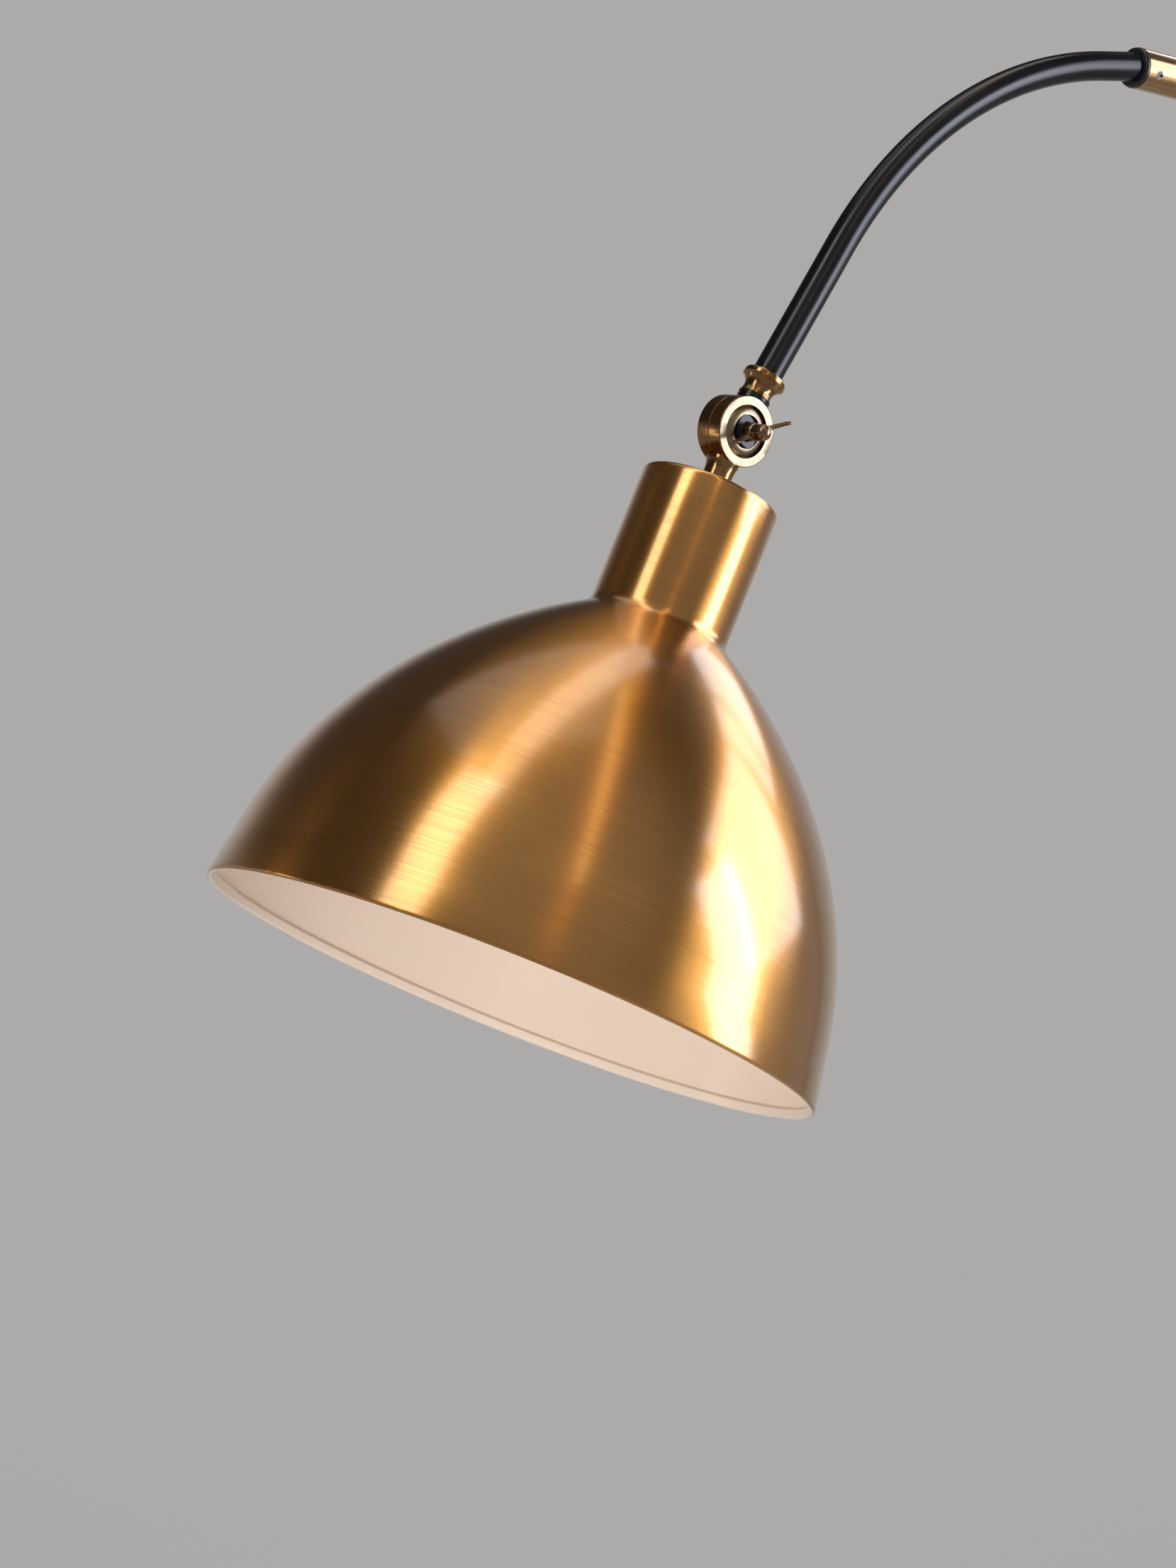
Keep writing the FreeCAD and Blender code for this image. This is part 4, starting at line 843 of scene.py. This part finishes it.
# node: body, finish, the axis that its brush lines go round, and a stem's axis and start
smoothPieces = {
    "arm_collar": ("boom", "agedBrass", armFrame),
    "boom_collar": ("boom", "agedBrass", boomFrame),
    "boom_tube": ("boom", "polishedBrass", boomFrame),
    "boom_bush": ("boom", "bushBlack", boomFrame),
    "head_knuckle_rear": ("boom", "agedBrass", armAcross, armFrame, 14.2),
    "head_knuckle_front": ("head", "agedBrass", headAcross, headFrame, 14.2),
    "head_cup_washer": ("head", "paleHighlightBrass", headAcross),
    "head_knuckle_bolt": ("boom", "agedBrass", headAcross),
    "pole_knuckle_rear": ("swivel", "agedBrass", swivelAcross, swivelFrame, 18),
    "pole_knuckle_front": ("boom", "agedBrass", boomAcross, boomFrame, 18),
    "pole_cup_washer": ("boom", "paleHighlightBrass", boomAcross),
    "pole_knuckle_bolt": ("swivel", "agedBrass", boomAcross),
    "swivel_spindle": ("swivel", "agedBrass", standFrame),
    "pole_socket": ("stand", "agedBrass", standFrame),
    "pole_joint_upper": ("stand", "agedBrass", standFrame),
    "pole_joint_lower": ("stand", "agedBrass", standFrame),
    "pole_foot": ("stand", "agedBrass", standFrame),
    "pole_tube_upper": ("stand", "satinBlack", standFrame),
    "pole_tube_middle": ("stand", "satinBlack", standFrame),
    "pole_tube_lower": ("stand", "satinBlack", standFrame),
    "base_cover": ("stand", "baseBlack", standFrame),
    "holder_cap": ("head", "blackPhenolic", headFrame),
    "holder_shell": ("head", "blackPhenolic", headFrame),
}

# node: each band of painted shade or painted highlight: its finish, its axis, its start
# and end along the axis and its greatest distance from it, in millimetres
shadeAndHighlightBands = {
    # painted shade: the brass boss under the collar's flare is painted black
    "head_knuckle_rear": (("satinBlack", armFrame, (12.8, 17.2), 20),),
    # painted shade: the washer's eye and inner slope are painted black
    "head_cup_washer": (("satinBlack", headAcross, (-40, 40), 6.9),),
    # painted highlight: the knuckle's front face takes the paler brass where it catches the key light
    "head_knuckle_front": (("paleHighlightBrass", headAcross, (-7.3, -6.95), 20),
                           # painted shade: the recess floor under the washer is painted black
                           ("satinBlack", headAcross, (-5.5, -5.0), 11.4)),
}

# node: the radius of its outer wall
roundWalls = {"boom_tube": 9.15, "pole_tube_upper": 11, "pole_tube_middle": 11,
              "pole_tube_lower": 11}
wallGap = 0.02                   # a corner this near that radius is on the wall
wallFacing = 0.95                # and its face looks out by at least this cosine


def paintShadeAndHighlight(mesh, bands):
    # Gives each band's faces its finish: painted shade and painted highlight on the knuckles, washers and wing
    # nuts.
    centres = np.zeros(len(mesh.polygons) * 3)
    mesh.polygons.foreach_get("center", centres)
    chosen = np.zeros(len(mesh.polygons), dtype=np.int32)
    for number, (finish, axis, (low, high), reach) in enumerate(bands, 1):
        spots = inFrame(centres.reshape(-1, 3), axis) / mm
        chosen[(spots[:, 2] > low) & (spots[:, 2] < high)
               & (np.hypot(spots[:, 0], spots[:, 1]) < reach)] = number
        mesh.materials.append(finishes[finish])
    mesh.polygons.foreach_set("material_index", chosen)


def roundNormals(mesh, axis, radius):
    # Corners on the outer wall point straight out, however long and thin its triangles are.
    turn = axis.inverted()
    normals = [corner.vector.copy() for corner in mesh.corner_normals]
    for face in mesh.polygons:
        for index in face.loop_indices:
            place = turn @ mesh.vertices[mesh.loops[index].vertex_index].co
            out = Vector((place.x, place.y, 0))
            outwards = (axis.to_3x3() @ out).normalized()
            onWall = abs(out.length - radius * mm) < wallGap * mm
            if onWall and face.normal.dot(outwards) > wallFacing:
                normals[index] = outwards
    mesh.normals_split_custom_set([tuple(normal) for normal in normals])


def pieceName(node):
    first, *rest = node.split("_")
    return first + "".join(word.capitalize() for word in rest)


def makeSmoothPieces():
    for node, (body, finish, axis, *stem) in smoothPieces.items():
        mesh = mergedCopy(pieceName(node), node, finish)
        mapByAxis(mesh, axis, *stem)
        shadeRound(mesh, smoothSharp)
        if node in shadeAndHighlightBands:
            paintShadeAndHighlight(mesh, shadeAndHighlightBands[node])
        if node in roundWalls:
            roundNormals(mesh, axis, roundWalls[node])
        addPiece(pieceName(node), mesh, body, [node])


makeSmoothPieces()
print("smoothed pieces made:", len(smoothPieces))


# wing nuts: cast, so every edge and corner is rounded

wingNuts = {
    # node: body, axis, hub radius, wing radius and foot height, voxel in millimetres,
    # smoothing passes
    "head_wing_nut": ("head_wing", headAcross, 3.9, 16.6, 2.0, 0.22, 5),
    "pole_wing_nut": ("pole_wing", boomAcross, 5.8, 21, 2.7, 0.32, 5),
}
casting = {
    "clearOfHub": 1.5,           # past this many hub radii there are only wings
    "wingsFrom": 1.02,           # and the wings start at this many
    "rootScale": 1.5,            # a wing's thickness at the hub and at its tip, as shares of
    "tipScale": 0.55,            # the solid's
    "ease": 0.5,
    "sharp": 70,
    "footShadeReach": 20,             # how far the foot's painted shade goes from the axis
}


def thinWings(mesh, axis, hub, span):
    # The wings grow thinner towards their tips, and a little thicker at the hub.
    own, back = inFrame(spotsOf(mesh), axis), np.array(axis)
    reach = np.hypot(own[:, 0], own[:, 1])
    far = own[reach > casting["clearOfHub"] * hub * mm][:, :2]
    alongWings = np.linalg.svd(far - far.mean(axis=0), full_matrices=False)[2][0]
    acrossWings = np.array([-alongWings[1], alongWings[0]])
    way = np.clip((reach / mm - hub) / (span - hub), 0, 1)
    root, tip = casting["rootScale"], casting["tipScale"]
    scale = np.where(reach > casting["wingsFrom"] * hub * mm, root + (tip - root) * way, 1)
    thick = own[:, :2] @ acrossWings
    own[:, :2] += np.outer(thick * (scale - 1), acrossWings)
    mesh.vertices.foreach_set("co", (own @ back[:3, :3].T + back[:3, 3]).ravel())


def footShadeBand(mesh, axis, height):
    # The band of the nut's foot, which sits in the cup washer's eye and is painted black there as painted shade.
    turn = axis.inverted()
    foot = max((turn @ vertex.co).z for vertex in mesh.vertices) / mm
    return foot - height, foot + 1


def makeWingNuts():
    for node, (body, axis, hub, span, height, voxel, passes) in wingNuts.items():
        mesh = mergedCopy(pieceName(node), node, "wornBrass")
        thinWings(mesh, axis, hub, span)
        holder = addObject("castDraft", mesh)
        cast = holder.modifiers.new("cast", "REMESH")
        cast.mode = "VOXEL"
        cast.voxel_size = voxel * mm
        ease = holder.modifiers.new("ease", "SMOOTH")
        ease.factor = casting["ease"]
        ease.iterations = passes
        made = plainMesh(holder, pieceName(node))
        shadeRound(made, casting["sharp"])
        foot = footShadeBand(made, axis, height)
        # painted shade: the foot is painted black where it sits in the washer's eye
        paintShadeAndHighlight(made, [("satinBlack", axis, foot, casting["footShadeReach"])])
        addPiece(pieceName(node), made, body, [node])


makeWingNuts()
print("wing nuts made")
